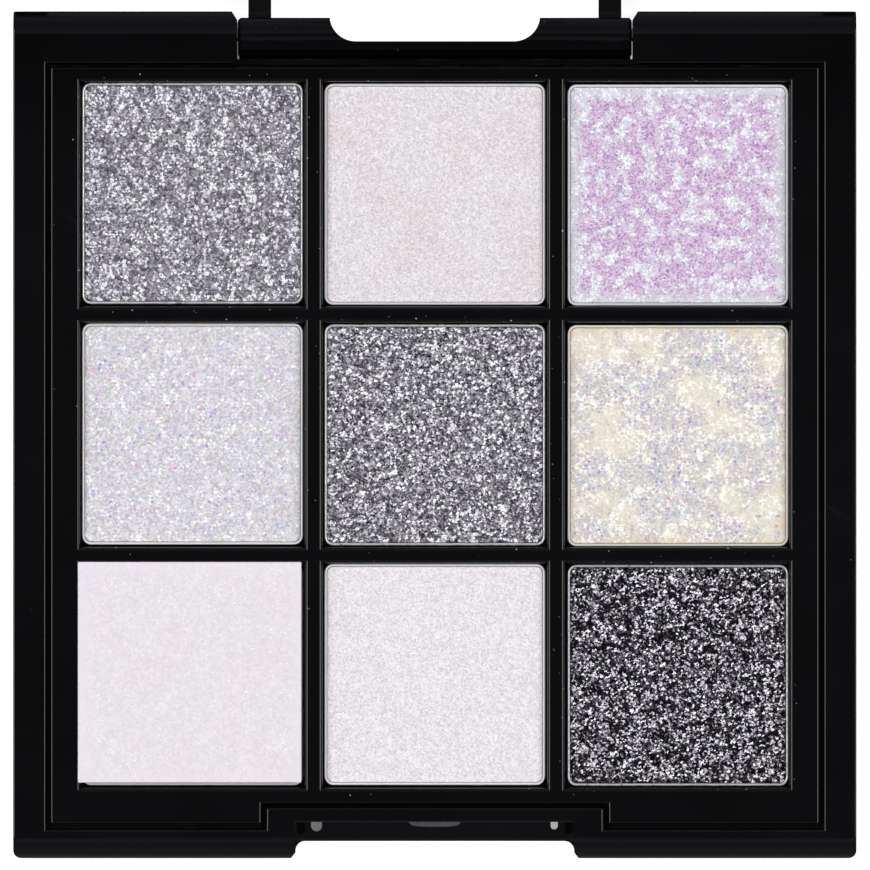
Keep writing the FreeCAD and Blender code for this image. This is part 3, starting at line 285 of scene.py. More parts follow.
class Graph:
    """The node tree of a material or world, built one node at a time."""

    def __init__(self, owner, output_kind):
        owner.use_nodes = True
        self.tree = owner.node_tree
        self.tree.nodes.clear()
        self.output = self.tree.nodes.new(output_kind)

    def feed(self, socket, value):
        if isinstance(value, bpy.types.NodeSocket):
            self.tree.links.new(value, socket)
        else:
            socket.default_value = (*value, 1.0) if socket.type == "RGBA" else value

    def node(self, kind, *values, settings=None, **named):
        """A node whose first inputs take values in order, and others by name."""
        node = self.tree.nodes.new("ShaderNode" + kind)
        for key, setting in (settings or {}).items():
            setattr(node, key, setting)
        for socket, value in zip(node.inputs, values):
            self.feed(socket, value)
        for key, value in named.items():
            self.feed(node.inputs[key.replace("_", " ")], value)
        return node

    def finish(self, shader):
        self.tree.links.new(shader.outputs[0], self.output.inputs[0])

    def math(self, operation, first, second, clamp=False):
        settings = dict(operation=operation, use_clamp=clamp)
        return self.node("Math", first, second, settings=settings).outputs[0]

    def add(self, first, second, clamp=False):
        return self.math("ADD", first, second, clamp)

    def subtract(self, first, second):
        return self.math("SUBTRACT", first, second)

    def multiply(self, first, second):
        return self.math("MULTIPLY", first, second)

    def less(self, value, limit):
        return self.math("LESS_THAN", value, limit)

    def greater(self, value, limit):
        return self.math("GREATER_THAN", value, limit)

    def between(self, value, low, high):
        return self.multiply(self.greater(value, low), self.less(value, high))

    def swing(self, value, amount):
        """A 0 to 1 value centred on zero and scaled."""
        return self.multiply(self.subtract(value, 0.5), amount)

    def remap(self, value, span=(0.0, 1.0), to=(0.0, 1.0)):
        return self.node("MapRange", value, *span, *to).outputs[0]

    def vector(self, operation, *values):
        return self.node("VectorMath", *values, settings=dict(operation=operation)).outputs[0]

    def scale(self, vector, factor):
        settings = dict(operation="SCALE")
        return self.node("VectorMath", vector, settings=settings, Scale=factor).outputs[0]

    def turn(self, vector, angle):
        settings = dict(rotation_type="Z_AXIS")
        return self.node("VectorRotate", settings=settings, Vector=vector, Angle=angle).outputs[0]

    def separate(self, vector):
        return self.node("SeparateXYZ", vector).outputs

    def mix(self, factor, first, second, mode="MIX"):
        node = self.node("Mix", settings=dict(data_type="RGBA", blend_type=mode))
        # The colour mix uses the factor at 0 and the colours at 6 and 7
        for index, value in ((0, factor), (6, first), (7, second)):
            self.feed(node.inputs[index], value)
        return node.outputs[2]

    def ramp(self, factor, stops):
        node = self.node("ValToRGB", factor)
        elements = node.color_ramp.elements
        while len(elements) < len(stops):
            elements.new(0.5)
        for element, (position, colour) in zip(elements, stops):
            element.position = position
            element.color = (*colour, 1)
        return node.outputs[0]

    def coords(self):
        return self.node("TexCoord").outputs["Object"]

    def noise(self, place, size, detail=2.0, rough=0.5, out="Fac", dim="3D"):
        """Noise whose features are about size metres wide."""
        node = self.node("TexNoise", settings=dict(noise_dimensions=dim), Vector=place,
                         Scale=1.0 / size, Detail=detail, Roughness=rough)
        return node.outputs[out]

    def streaks(self, place, scale, detail=2.0):
        """Noise drawn out along the axes with the smallest scale."""
        return self.noise(self.vector("MULTIPLY", place, scale), size=1.0, detail=detail)

    def cells(self, place, size, dim="2D"):
        return self.node("TexVoronoi", settings=dict(voronoi_dimensions=dim), Vector=place,
                         Scale=1.0 / size).outputs

    def bump(self, height, strength, distance):
        return self.node("Bump", Height=height, Strength=strength, Distance=distance).outputs[0]


class Material(Graph):
    def __init__(self, name):
        self.data = bpy.data.materials.new(name)
        super().__init__(self.data, "ShaderNodeOutputMaterial")

    def principled(self, **inputs):
        self.finish(self.node("BsdfPrincipled", **inputs))


def assign(piece, material):
    piece.data.materials.clear()
    piece.data.materials.append(material.data)


def grey(value):
    return (value, value, value)


# ------------------------------------------------------------------ case and pan materials

BLACK = 0.0022
# Low and high corners of a box round the catch nub at the middle of the front edge, drawn matt as
# if rubbed, with its lighter grey and lighter outline a painted highlight
NUB_RUB_AND_HIGHLIGHT_BOX = ((-0.0034, -0.0475, 0.0060), (0.0034, -0.04602, 0.0075))


def gloss_black(name, rough, seed, nub_rub_and_highlight=None):
    """Black moulded plastic: smudges, hairline scratches, dust, edges lightened by wear and
    painted highlight, painted shade towards the back, and an optional box on the catch nub drawn
    matt as if rubbed, with a painted highlight.
    """
    m = Material(name)
    place = m.vector("ADD", m.coords(), (seed, seed * 0.7, seed * 0.3))
    smudge = m.noise(place, size=0.016, detail=3.0, rough=0.6)
    fine = m.noise(place, size=0.0011)
    hairs = m.streaks(m.turn(place, angle=0.55), scale=(60.0, 2200.0, 60.0), detail=1.0)
    hairs = m.remap(hairs, span=(0.70, 0.80))
    hairs = m.multiply(hairs, m.remap(smudge, span=(0.5, 0.62)))
    # An edge is where a small bevel's normal leaves the surface's own
    bevel = m.node("Bevel", settings=dict(samples=4), Radius=0.00022).outputs[0]
    normal = m.node("NewGeometry").outputs["Normal"]
    edge = m.node("VectorMath", bevel, normal, settings=dict(operation="DOT_PRODUCT"))
    edge = m.remap(edge.outputs["Value"], span=(0.985, 0.80))
    edge_wear_and_highlight_noise = m.noise(place, size=0.004, detail=3.0, rough=0.6)
    edge_wear_and_highlight = m.multiply(edge, m.remap(edge_wear_and_highlight_noise, span=(0.52, 0.68)))
    # Dust: a speck in a tenth of the cells
    cell = m.cells(place, size=0.0016, dim="3D")
    speck = m.less(cell["Distance"], 0.035)
    dust = m.multiply(speck, m.greater(m.separate(cell["Color"])[0], 0.90))
    # Painted shade: the black is drawn darker towards the back, where less light falls
    back = m.remap(m.separate(m.coords())[1], span=(0.032, 0.044), to=(0.0, 0.55))
    colour = m.mix(smudge, grey(BLACK), (BLACK * 1.5, BLACK * 1.5, BLACK * 1.7))
    colour = m.mix(back, colour, grey(BLACK * 0.2))
    # Edges are drawn lighter: partly wear, partly a painted highlight along the rounds
    colour = m.mix(m.multiply(edge_wear_and_highlight, 0.35), colour, (0.05, 0.05, 0.055))
    colour = m.mix(m.multiply(dust, 0.55), colour, (0.28, 0.27, 0.26))
    roughness = m.add(m.remap(smudge, span=(0.35, 0.7), to=(rough * 0.7, rough * 1.7)),
                      m.multiply(hairs, 0.12))
    roughness = m.add(roughness, m.multiply(edge_wear_and_highlight, 0.16))
    roughness = m.add(roughness, m.multiply(dust, 0.5), clamp=True)
    if nub_rub_and_highlight is not None:
        inside = 1.0
        for coordinate, low, high in zip(m.separate(m.coords()), *nub_rub_and_highlight):
            inside = m.multiply(inside, m.between(coordinate, low, high))
        rub_and_highlight_noise = m.noise(place, size=0.0009, detail=3.0, rough=0.6)
        rub_and_highlight_mask = m.multiply(inside, m.remap(rub_and_highlight_noise, span=(0.3, 0.7), to=(0.6, 1.0)))
        # Painted highlight: the nub is drawn lighter grey, lightest at its edges, for the gloss of
        # its curved face
        painted_nub_highlight_colour = m.mix(m.remap(edge, span=(0.15, 0.8)),
                              (0.105, 0.103, 0.115), (0.24, 0.235, 0.26))
        colour = m.mix(rub_and_highlight_mask, colour, painted_nub_highlight_colour)
        roughness = m.add(roughness, m.multiply(rub_and_highlight_mask, 0.42), clamp=True)
    m.principled(Base_Color=colour, Roughness=roughness, IOR=1.47,
                 Normal=m.bump(fine, strength=0.06, distance=0.00002))
    return m


def pan_metal(name, seed, powder, least):
    """Brushed sheet metal with powder of the given colour caught on it."""
    m = Material(name)
    place = m.vector("ADD", m.coords(), (seed, seed, 0.0))
    polish = m.noise(place, size=0.0009, detail=3.0, rough=0.6)
    shade = m.noise(place, size=0.006)
    brushing = m.streaks(place, scale=(300.0, 300.0, 9000.0))
    dust = m.remap(m.noise(place, size=0.0005, detail=3.0, rough=0.7),
                   span=(0.42, 0.60), to=(least, 1.0))
    colour = m.mix(shade, (0.80, 0.79, 0.77), (0.92, 0.91, 0.89))
    colour = m.mix(m.multiply(dust, 0.85), colour, powder)
    metal = m.subtract(1.0, m.multiply(dust, 0.9))
    rough = m.add(m.remap(polish, span=(0.3, 0.7), to=(0.20, 0.34)), m.multiply(dust, 0.25))
    m.principled(Base_Color=colour, Metallic=metal, Roughness=rough,
                 Normal=m.bump(brushing, strength=0.12, distance=0.00003))
    return m


# ------------------------------------------------------------------ powder material

LIGHT = 0.97  # what this scene's light shows of a white surface
BRIGHTEST = 0.985
BORDER_AT = 0.0128  # from a cake's centre to where its border ends
FULL_TURN = 6.2832
SHADOW_RING_WIDTH = 0.07  # in cells; width of the painted shadow round a flake


def as_shown(colour, gain):
    """Reflectance of a surface that this light shows as the given 0 to 255 colour."""
    reflectance = []
    for channel in colour:
        level = channel / 255.0
        level = level / 12.92 if level <= 0.04045 else ((level + 0.055) / 1.055) ** 2.4
        reflectance.append(min(BRIGHTEST, level * gain / LIGHT))
    return tuple(reflectance)


def shown_ramp(stops, gain):
    return [(position, as_shown(colour, gain)) for position, colour in stops]


def lean(m, colour, amount):
    """A sideways tilt of up to amount, taken from a random colour."""
    centred = m.vector("SUBTRACT", colour, grey(0.5))
    return m.vector("MULTIPLY", centred, (2 * amount, 2 * amount, 0.0))


def add_flakes(m, layer, gain, place, warp, masks, surface):
    """Lays one layer of six-sided flakes, one to a cell, over the surface."""
    size, radius = layer["size"], layer["radius"]
    shift = layer.get("shift", 0.0)
    place = m.vector("ADD", place, (shift, shift * 0.37, 0.0))
    place = m.vector("ADD", place, m.scale(warp, layer.get("warp", 0.3) * size * 2.0))
    if "stretch" in layer:
        angle, squeeze = layer["stretch"]
        place = m.vector("MULTIPLY", m.turn(place, angle), (squeeze, 1.0, 1.0))
    cell = m.cells(place, size)
    turn_draw, fill_draw, colour_draw = m.separate(cell["Color"])
    second_draw = m.vector("FRACTION", m.scale(cell["Color"], 13.7))
    radius_draw = m.separate(second_draw)[0]

    # Distance from the flake's centre, measured so that a hexagon has one value all round
    offset = m.scale(m.vector("SUBTRACT", place, cell["Position"]), 1.0 / size)
    offset = m.turn(offset, m.multiply(turn_draw, FULL_TURN))
    offset = m.separate(m.vector("ABSOLUTE", offset))
    slanted = m.add(m.multiply(offset[0], 0.5), m.multiply(offset[1], 0.866))
    hexagon = m.math("MAXIMUM", offset[0], slanted)
    reach = m.remap(radius_draw, to=(radius * 0.6, radius * 1.25))

    density = layer["density"]
    if "zone" in layer:
        density = m.multiply(m.remap(masks["zone"], span=layer["zone"]), density)
    density = m.add(m.swing(masks["clump"], layer.get("clump", 0.0)), density)
    density = m.subtract(density, m.multiply(masks["border"], layer.get("border", 0.0)))
    filled = m.less(fill_draw, density)
    mask = m.multiply(filled, m.less(hexagon, reach))

    # Painted shadow: a darker ring just outside each flake
    if "ring" in layer:
        ring = m.multiply(filled, m.less(hexagon, m.add(reach, SHADOW_RING_WIDTH)))
        surface.colour = m.mix(m.multiply(ring, layer["ring"]), surface.colour,
                               as_shown(layer["shadow_ring_col"], gain))
    flake_colour = m.ramp(colour_draw, shown_ramp(layer["ramp"], gain))
    cover = m.multiply(mask, layer.get("cover", 1.0))
    surface.colour = m.mix(cover, surface.colour, flake_colour)
    surface.tilt = m.mix(mask, surface.tilt, lean(m, second_draw, layer["tilt"]))
    bare = m.subtract(1.0, mask)
    surface.metal = m.add(m.multiply(bare, surface.metal),
                          m.multiply(mask, layer.get("metal", 0.0)))
    surface.rough = m.add(m.multiply(bare, surface.rough),
                          m.multiply(mask, layer.get("rough", 0.32)))


def pressed_powder(name, powder, centre, seed):
    """A pressed cake: fine grain under layers of flakes. centre is the pan's (x, y)."""
    m = Material(name)
    gain = powder["gain"]
    here = m.coords()
    place = m.vector("ADD", here, (seed, seed * 1.3, 0.0))
    clump = m.noise(place, powder["clump_size"], rough=0.55, dim="2D")
    masks = dict(clump=clump)
    if "zone_size" in powder:
        zone_place = m.vector("ADD", place, (0.31, 0.17, 0.0))
        masks["zone"] = m.noise(zone_place, powder["zone_size"], dim="2D")
    # The border is ragged, and strongest at the cake's edge
    offset = m.separate(m.vector("ABSOLUTE", m.vector("SUBTRACT", here, (*centre, 0.0))))
    inset = m.subtract(BORDER_AT, m.math("MAXIMUM", offset[0], offset[1]))
    ragged = m.add(inset, m.swing(clump, 0.0012))
    masks["border"] = m.remap(ragged, span=(0.0, powder.get("border", 0.0010)), to=(1.0, 0.0))

    grain = m.cells(place, powder["grain"])["Color"]
    grain_draw = m.separate(grain)
    base = m.add(grain_draw[0], m.swing(clump, powder["base_clump"]))
    colour = m.ramp(base, shown_ramp(powder["base"], gain))
    fine = m.noise(place, size=0.00011, detail=1.0, dim="2D")
    fine_shade = m.ramp(fine, [(0.25, grey(1.0 - powder["fine"])), (0.75, grey(1.0))])
    colour = m.mix(1.0, colour, fine_shade, mode="MULTIPLY")
    for mask, start, end, amount, cloud in powder.get("clouds", []):
        spread = m.remap(masks[mask], span=(start, end), to=(0.0, amount))
        colour = m.mix(spread, colour, as_shown(cloud, gain))

    warp = m.noise(place, size=0.00030, detail=1.0, out="Color", dim="2D")
    warp = m.vector("SUBTRACT", warp, grey(0.5))
    surface = SimpleNamespace(
        colour=colour,
        tilt=lean(m, grain, powder["grain_tilt"]),
        metal=powder.get("metal", 0.0),
        rough=m.remap(grain_draw[1], to=(0.40, 0.60)))
    for layer in powder["layers"]:
        add_flakes(m, layer, gain, place, warp, masks, surface)

    colour = surface.colour
    if "patch" in powder:
        amount, tint, start, end = powder["patch"]
        spread = m.multiply(m.remap(masks["zone"], span=(start, end)), amount)
        colour = m.mix(spread, colour, tint, mode="MULTIPLY")
    if "edge" in powder:
        amount, edge = powder["edge"]
        colour = m.mix(m.multiply(masks["border"], amount), colour, as_shown(edge, gain))
    normal = m.vector("ADD", m.node("NewGeometry").outputs["Normal"], surface.tilt)
    m.principled(Base_Color=colour, Metallic=surface.metal, Roughness=surface.rough,
                 Normal=m.vector("NORMALIZE", normal),
                 Specular_IOR_Level=powder.get("specular", 0.5))
    return m


# ------------------------------------------------------------------ meshes


def mesh_object(name, verts, faces, smooth=True):
    mesh = bpy.data.meshes.new(name)
    mesh.from_pydata([tuple(vert) for vert in verts], [], [tuple(face) for face in faces])
    mesh.validate()
    mesh.update()
    if smooth:
        mesh.polygons.foreach_set("use_smooth", [True] * len(mesh.polygons))
    piece = bpy.data.objects.new(name, mesh)
    bpy.context.scene.collection.objects.link(piece)
    return piece


def round_square(half, radius, arc_steps, side_steps):
    """Counter-clockwise points round a rounded square, with their outward normals."""
    points, normals = [], []
    corners = ((1, 1), (-1, 1), (-1, -1), (1, -1))
    reach = half - radius
    for k, (x_sign, y_sign) in enumerate(corners):
        start = k * math.pi / 2
        for i in range(arc_steps + 1):
            angle = start + i / arc_steps * math.pi / 2
            normal = (math.cos(angle), math.sin(angle))
            points.append((x_sign * reach + radius * normal[0],
                           y_sign * reach + radius * normal[1]))
            normals.append(normal)
        # The straight side on to the next corner
        x_next, y_next = corners[(k + 1) % 4]
        angle = start + math.pi / 2
        normal = (math.cos(angle), math.sin(angle))
        x_from, y_from = points[-1]
        x_to = x_next * reach + radius * normal[0]
        y_to = y_next * reach + radius * normal[1]
        for i in range(1, side_steps):
            t = i / side_steps
            points.append((x_from + (x_to - x_from) * t, y_from + (y_to - y_from) * t))
            normals.append(normal)
    return points, normals


def pan_section(height):
    """(outward offset, height) from under the floor, up over the rim and back inside."""
    wall, lip = PAN_WALL, PAN_WALL / 2
    section = [(-PAN_FLOOR_REACH, 0.0)]
    section += [(-PAN_FOOT * (1 - math.sin(a)), PAN_FOOT * (1 - math.cos(a)))
                for a in np.linspace(0, math.pi / 2, 5)]
    section += [(0.0, PAN_STEADY)]
    section += [(-lip + lip * math.cos(a), height - lip + lip * math.sin(a))
                for a in np.linspace(0, math.pi, 9)]
    section += [(-wall, PAN_STEADY), (-wall, wall + PAN_CHAMFER), (-wall - PAN_CHAMFER, wall),
                (-PAN_FLOOR_REACH, wall)]
    return section


def build_pan(name, low, high, rng):
    """A pressed pan swept from its section round a rounded square."""
    x_centre, y_centre = (low.x + high.x) / 2 / MM, (low.y + high.y) / 2 / MM
    bottom = low.z / MM
    height = high.z / MM - bottom
    section = pan_section(height)
    points, normals = round_square((high.x - low.x) / 2 / MM, PAN_CORNER, 8, 8)
    around, along = len(points), len(section)
    waver = np.cumsum(rng.normal(0, 1, around))
    waver = waver - np.linspace(0, waver[-1], around)
    waver = waver / (np.abs(waver).max() + 1e-9) * PAN_WAVER
    verts, faces = [], []
    for i in range(around):
        for offset, z in section:
            dip = abs(waver[i] * max(0.0, (z - PAN_STEADY) / 2.0)) * 0.6
            x = points[i][0] + normals[i][0] * offset
            y = points[i][1] + normals[i][1] * offset
            verts.append(((x_centre + x) * MM, (y_centre + y) * MM,
                          (bottom + min(z - dip, height)) * MM))
    for i in range(around):
        for j in range(along - 1):
            here, beside = i * along + j, ((i + 1) % around) * along + j
            faces.append((here, beside, beside + 1, here + 1))
    faces.append([i * along for i in reversed(range(around))])
    faces.append([i * along + along - 1 for i in range(around)])
    return mesh_object(name, verts, faces)


def smooth_noise(rng, samples, cell):
    """A square of values, about -1 to 1, varying over cell samples."""
    count = math.ceil(samples / cell) + 3
    knots = rng.normal(0, 1, (count, count))
    x = np.linspace(0, count - 3.001, samples) + 1
    i = x.astype(int)
    part = x - i
    part = part * part * (3 - 2 * part)
    rest = 1 - part
    first = (knots[np.ix_(i, i)] * np.outer(rest, rest)
             + knots[np.ix_(i + 1, i)] * np.outer(part, rest))
    second = (knots[np.ix_(i, i + 1)] * np.outer(rest, part)
              + knots[np.ix_(i + 1, i + 1)] * np.outer(part, part))
    return first + second


def round_corners(u, v, radius):
    """Maps the square from -1 to 1 to one with round corners; radius is a share of its half."""
    past_u = (np.abs(u) - (1 - radius)) / radius
    past_v = (np.abs(v) - (1 - radius)) / radius
    in_corner = (past_u > 0) & (past_v > 0)
    past_u, past_v = np.clip(past_u, 0, 1), np.clip(past_v, 0, 1)
    x = (1 - radius) + radius * (past_u * np.sqrt(1 - past_v * past_v / 2))
    y = (1 - radius) + radius * (past_v * np.sqrt(1 - past_u * past_u / 2))
    return np.where(in_corner, np.sign(u) * x, u), np.where(in_corner, np.sign(v) * y, v)


def build_cake(name, sides, bottom, top, samples, corner, rng, relief,
               edge_drop=0.12, edge_width=0.35, sink=0.10):
    """A closed block with a fine height field on top, in mm.

    sides is (left, front, right, back). The top lies sink below its limit on average, and
    falls by edge_drop over edge_width at its edges.
    """
    left, front, right, back = sides
    half_x, half_y = (right - left) / 2, (back - front) / 2
    spread = np.linspace(-1, 1, samples)
    # Samples stand a little closer together near the edges
    spread = np.sign(spread) * (1 - (1 - np.abs(spread)) ** 1.12)
    u, v = np.meshgrid(spread, spread, indexing="xy")
    x, y = round_corners(u, v, corner / half_x)
    height = np.zeros((samples, samples))
    for cell, amount in relief:
        if cell > 1:
            height += smooth_noise(rng, samples, cell) * amount
        else:
            height += rng.normal(0, amount, (samples, samples))
    inset = np.minimum(half_x * (1 - np.abs(u)), half_y * (1 - np.abs(v)))
    drop = edge_drop * np.clip(1 - inset / edge_width, 0, 1) ** 2
    height = height * np.clip(inset / 0.12, 0.15, 1)
    z = np.clip(top - sink + np.clip(height, -0.15, sink) - drop, bottom + 0.02, top)
    x_centre, y_centre = (left + right) / 2, (front + back) / 2
    upper = np.stack([x * half_x + x_centre, y * half_y + y_centre, z], -1).reshape(-1, 3)

    index = np.arange(samples * samples).reshape(samples, samples)
    faces = [(index[i, j], index[i, j + 1], index[i + 1, j + 1], index[i + 1, j])
             for i in range(samples - 1) for j in range(samples - 1)]
    ring = [*index[0, :], *index[1:, -1], *index[-1, -2::-1], *index[-2:0:-1, 0]]
    lower = upper[ring].copy()
    lower[:, 2] = bottom
    base, count = samples * samples, len(ring)
    for i in range(count):
        j = (i + 1) % count
        faces.append((ring[i], base + i, base + j, ring[j]))
    faces.append([base + i for i in reversed(range(count))])
    piece = mesh_object(name, np.concatenate([upper, lower]) * MM, faces)
    piece.data.polygons[-1].use_smooth = False  # the underside
    return piece


def sides_of(low, high, inset=0.0):
    return (low.x / MM + inset, low.y / MM + inset, high.x / MM - inset, high.y / MM - inset)


def build_overfilled_cake(name, pan_box, cake_box, rng, relief):
    """A cake that stands out over its pan's rim: body, fill and cap joined into one piece."""
    (pan_low, pan_high), (low, high) = pan_box, cake_box
    x_centre = (pan_low.x + pan_high.x) / 2 / MM
    y_centre = (pan_low.y + pan_high.y) / 2 / MM
    rim, top = pan_high.z / MM, high.z / MM
    cap_bottom = top - CAP_DEPTH
    body = build_cake("cake_body", sides_of(pan_low, pan_high, BODY_INSET), low.z / MM,
                      rim + BODY_RISE, UNDER_SAMPLES, CAKE_CORNER, rng, UNDER_RELIEF)
    left, front, right, back = FILL_SIDES
    fill_sides = (x_centre + left, y_centre + front, x_centre + right, y_centre + back)
    fill = build_cake("cake_fill", fill_sides, rim + 0.004, cap_bottom + 0.01,
                      UNDER_SAMPLES, FILL_CORNER, rng, UNDER_RELIEF)
    cap = build_cake(name, sides_of(low, high), cap_bottom + 0.003, top, GRID_SAMPLES,
                     FILL_CORNER, rng, relief, edge_drop=0.05, edge_width=0.20, sink=0.04)
    for piece in bpy.context.scene.objects:
        piece.select_set(False)
    bpy.context.view_layer.objects.active = cap
    for piece in (cap, body, fill):
        piece.select_set(True)
    bpy.ops.object.join()
    return cap


# ------------------------------------------------------------------ pans and cakes


def fill_well(k, place):
    """Builds the pan and the cake of one well. k sets its random seeds."""
    relief, dust, least_dust, _ = WELLS[place]
    prefix = f"shade_{place}_"
    shade = next(name for name in pieces if name.startswith(prefix))
    rng = np.random.default_rng(1000 + k)
    low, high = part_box("pan_" + place)
    pan = build_pan("metal_pan_" + place, low, high, rng)
    assign(pan, pan_metal("pan_metal_" + place, 0.1 * k, dust, least_dust))
    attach(pan, "base")
    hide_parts("pan_" + place)

    cake_low, cake_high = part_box(shade)
    if place == "front_left":
        cake = build_overfilled_cake("cake_" + place, (low, high), (cake_low, cake_high),
                                     rng, relief)
    else:
        cake = build_cake("cake_" + place, sides_of(cake_low, cake_high), cake_low.z / MM,
                          cake_high.z / MM, GRID_SAMPLES, CAKE_CORNER, rng, relief)
    centre = ((low.x + high.x) / 2, (low.y + high.y) / 2)
    assign(cake, pressed_powder("powder_" + place, POWDERS[place], centre, 0.2 + 0.11 * k))
    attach(cake, "base")
    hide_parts(shade)


for k, place in enumerate(sorted(POWDERS)):
    fill_well(k, place)

# ------------------------------------------------------------------ loose flakes


def flake_material():
    m = Material("loose_flakes")
    tone = m.noise(m.coords(), size=0.0007, rough=0.6)
    colour = m.ramp(tone, [(0.38, (0.05, 0.05, 0.06)), (0.5, (0.20, 0.195, 0.21)),
                           (0.64, (0.65, 0.64, 0.68))])
    m.principled(Base_Color=colour, Metallic=0.2,
                 Roughness=m.remap(tone, span=(0.3, 0.7), to=(0.25, 0.5)))
    return m


def build_loose_flakes():
    """Thin six-sided plates caught round the wells, all in one mesh."""
    rng = np.random.default_rng(77)
    columns = {"left": -1, "centre": 0, "right": 1}
    rows = {"back": 1, "middle": 0, "front": -1}
    verts, faces = [], []
    for place in sorted(WELLS):
        row, column = place.split("_")
        x_well, y_well = WELL_PITCH[0] * columns[column], WELL_PITCH[1] * rows[row]
        for _ in range(WELLS[place][-1]):
            side = rng.integers(0, 4)
            out = FLAKE_OUT[0] + rng.random() ** 1.6 * FLAKE_OUT[1]
            run = (rng.random() * 2 - 1) * FLAKE_RUN
            # None at the left and back of the overfilled cake
            if place == "front_left" and side in (0, 3):
                continue
            x, y = ((-out, run), (out, run), (run, -out), (run, out))[side]
            inward = max(0.0, LIP_OUT - out)
            z = LIP_CENTRE_Z + math.sqrt(max(0.0, LIP_ROUND ** 2 - inward ** 2))
            radius = FLAKE_RADIUS[0] + rng.random() ** 2 * FLAKE_RADIUS[1]
            start = rng.random() * math.tau
            base = len(verts)
            for level in FLAKE_LEVELS:
                for k in range(6):
                    angle = start + k * math.tau / 6
                    verts.append(((x_well + x + radius * math.cos(angle)) * MM,
                                  (y_well + y + radius * math.sin(angle)) * MM,
                                  (z + level) * MM))
            faces.append([base + k for k in reversed(range(6))])
            faces.append([base + 6 + k for k in range(6)])
            for k in range(6):
                after = (k + 1) % 6
                faces.append((base + k, base + after, base + 6 + after, base + 6 + k))
    return mesh_object("loose_flakes", verts, faces, smooth=False)


flakes = build_loose_flakes()
assign(flakes, flake_material())
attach(flakes, "base")

# ------------------------------------------------------------------ case, lid and small parts


def steel(name):
    m = Material(name)
    place = m.coords()
    grain = m.streaks(place, scale=(300.0, 5000.0, 5000.0))
    tone = m.noise(place, size=0.003, detail=3.0)
    m.principled(Base_Color=m.mix(tone, (0.45, 0.45, 0.46), (0.62, 0.62, 0.63)), Metallic=1.0,
                 Roughness=m.remap(grain, span=(0.3, 0.7), to=(0.25, 0.45)),
                 Normal=m.bump(grain, strength=0.1, distance=0.00002))
    return m


def mirror_glass(name):
    """Silvered glass with faint smears and prints."""
    m = Material(name)
    place = m.coords()
    smear = m.noise(place, size=0.02, detail=4.0, rough=0.6)
    prints = m.noise(place, size=0.0035, detail=3.0, rough=0.6)
    rough = m.add(m.remap(smear, span=(0.45, 0.75), to=(0.008, 0.05)),
                  m.remap(prints, span=(0.62, 0.75), to=(0.0, 0.05)))
    m.principled(Base_Color=m.mix(smear, (0.86, 0.88, 0.88), (0.90, 0.91, 0.92)),
                 Metallic=1.0, Roughness=rough)
    return m


def foam(name):
    m = Material(name)
    bubbles = m.cells(m.coords(), size=0.0004, dim="3D")["Distance"]
    m.principled(Base_Color=m.mix(bubbles, (0.62, 0.62, 0.60), (0.8, 0.8, 0.78)),
                 Roughness=m.remap(bubbles, to=(0.6, 0.9)),
                 Normal=m.bump(bubbles, strength=0.4, distance=0.00005))
    return m


def hot_melt(name):
    m = Material(name)
    tone = m.noise(m.coords(), size=0.002, detail=3.0)
    m.principled(Base_Color=m.mix(tone, (0.62, 0.58, 0.46), (0.75, 0.72, 0.62)),
                 Roughness=m.remap(tone, span=(0.3, 0.7), to=(0.25, 0.45)),
                 Normal=m.bump(tone, strength=0.3, distance=0.0001))
    return m


assign(pieces["base_case"], gloss_black("case_black", rough=0.085, seed=0.0, nub_rub_and_highlight=NUB_RUB_AND_HIGHLIGHT_BOX))
assign(pieces["pan_tray"], gloss_black("tray_black", rough=0.075, seed=0.21))
assign(pieces["lid_shell"], gloss_black("lid_black", rough=0.08, seed=0.47))
pin_steel = steel("pin_steel")
assign(pieces["hinge_pin_left"], pin_steel)
assign(pieces["hinge_pin_right"], pin_steel)
assign(pieces["lid_mirror"], mirror_glass("mirror_glass"))
assign(pieces["mirror_tape"], foam("tape_white"))
assign(pieces["pan_glue_dots"], hot_melt("pan_glue"))

# ------------------------------------------------------------------ floor, in metres

FLOOR_HALF, FLOOR_Z = 4, -2e-5
case_low, case_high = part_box("base_case")


def floor_material():
    """White paper that glows for the camera only, so the gloss doesn't mirror a white floor."""
    m = Material("floor_white")
    x, y, _ = m.separate(m.coords())
    across = m.math("ABSOLUTE", x, 0.5)
    # The glow is dimmed under the case and in two slits near its back
    under = m.multiply(m.less(across, case_high.x - 0.0005),
                       m.between(y, case_low.y + 0.0023, case_high.y - 0.006))
    slits = m.multiply(m.between(across, 0.0228, 0.0240), m.between(y, 0.040, 0.0492))
    dimmed = m.math("MAXIMUM", under, slits)
    tone = m.noise(m.coords(), size=0.05)
    seen = m.node("LightPath").outputs["Is Camera Ray"]
    dim_glow = m.remap(x, span=(0.010, 0.013), to=(0.15, 0.42))
    glow = m.multiply(seen, m.remap(dimmed, to=(0.90, dim_glow)))
    paper = m.mix(tone, grey(0.50), grey(0.54))
    m.principled(Base_Color=m.mix(seen, (0.16, 0.155, 0.17), paper),
                 Roughness=m.remap(tone, span=(0.3, 0.7), to=(0.55, 0.7)),
                 Emission_Color=grey(1), Emission_Strength=glow, Specular_IOR_Level=0.1)
    return m


floor_corners = [(x * FLOOR_HALF, y * FLOOR_HALF, FLOOR_Z)
                 for x, y in ((-1, -1), (1, -1), (1, 1), (-1, 1))]
floor = mesh_object("floor", floor_corners, [(0, 1, 2, 3)], smooth=False)
assign(floor, floor_material())

# ------------------------------------------------------------------ lights and world


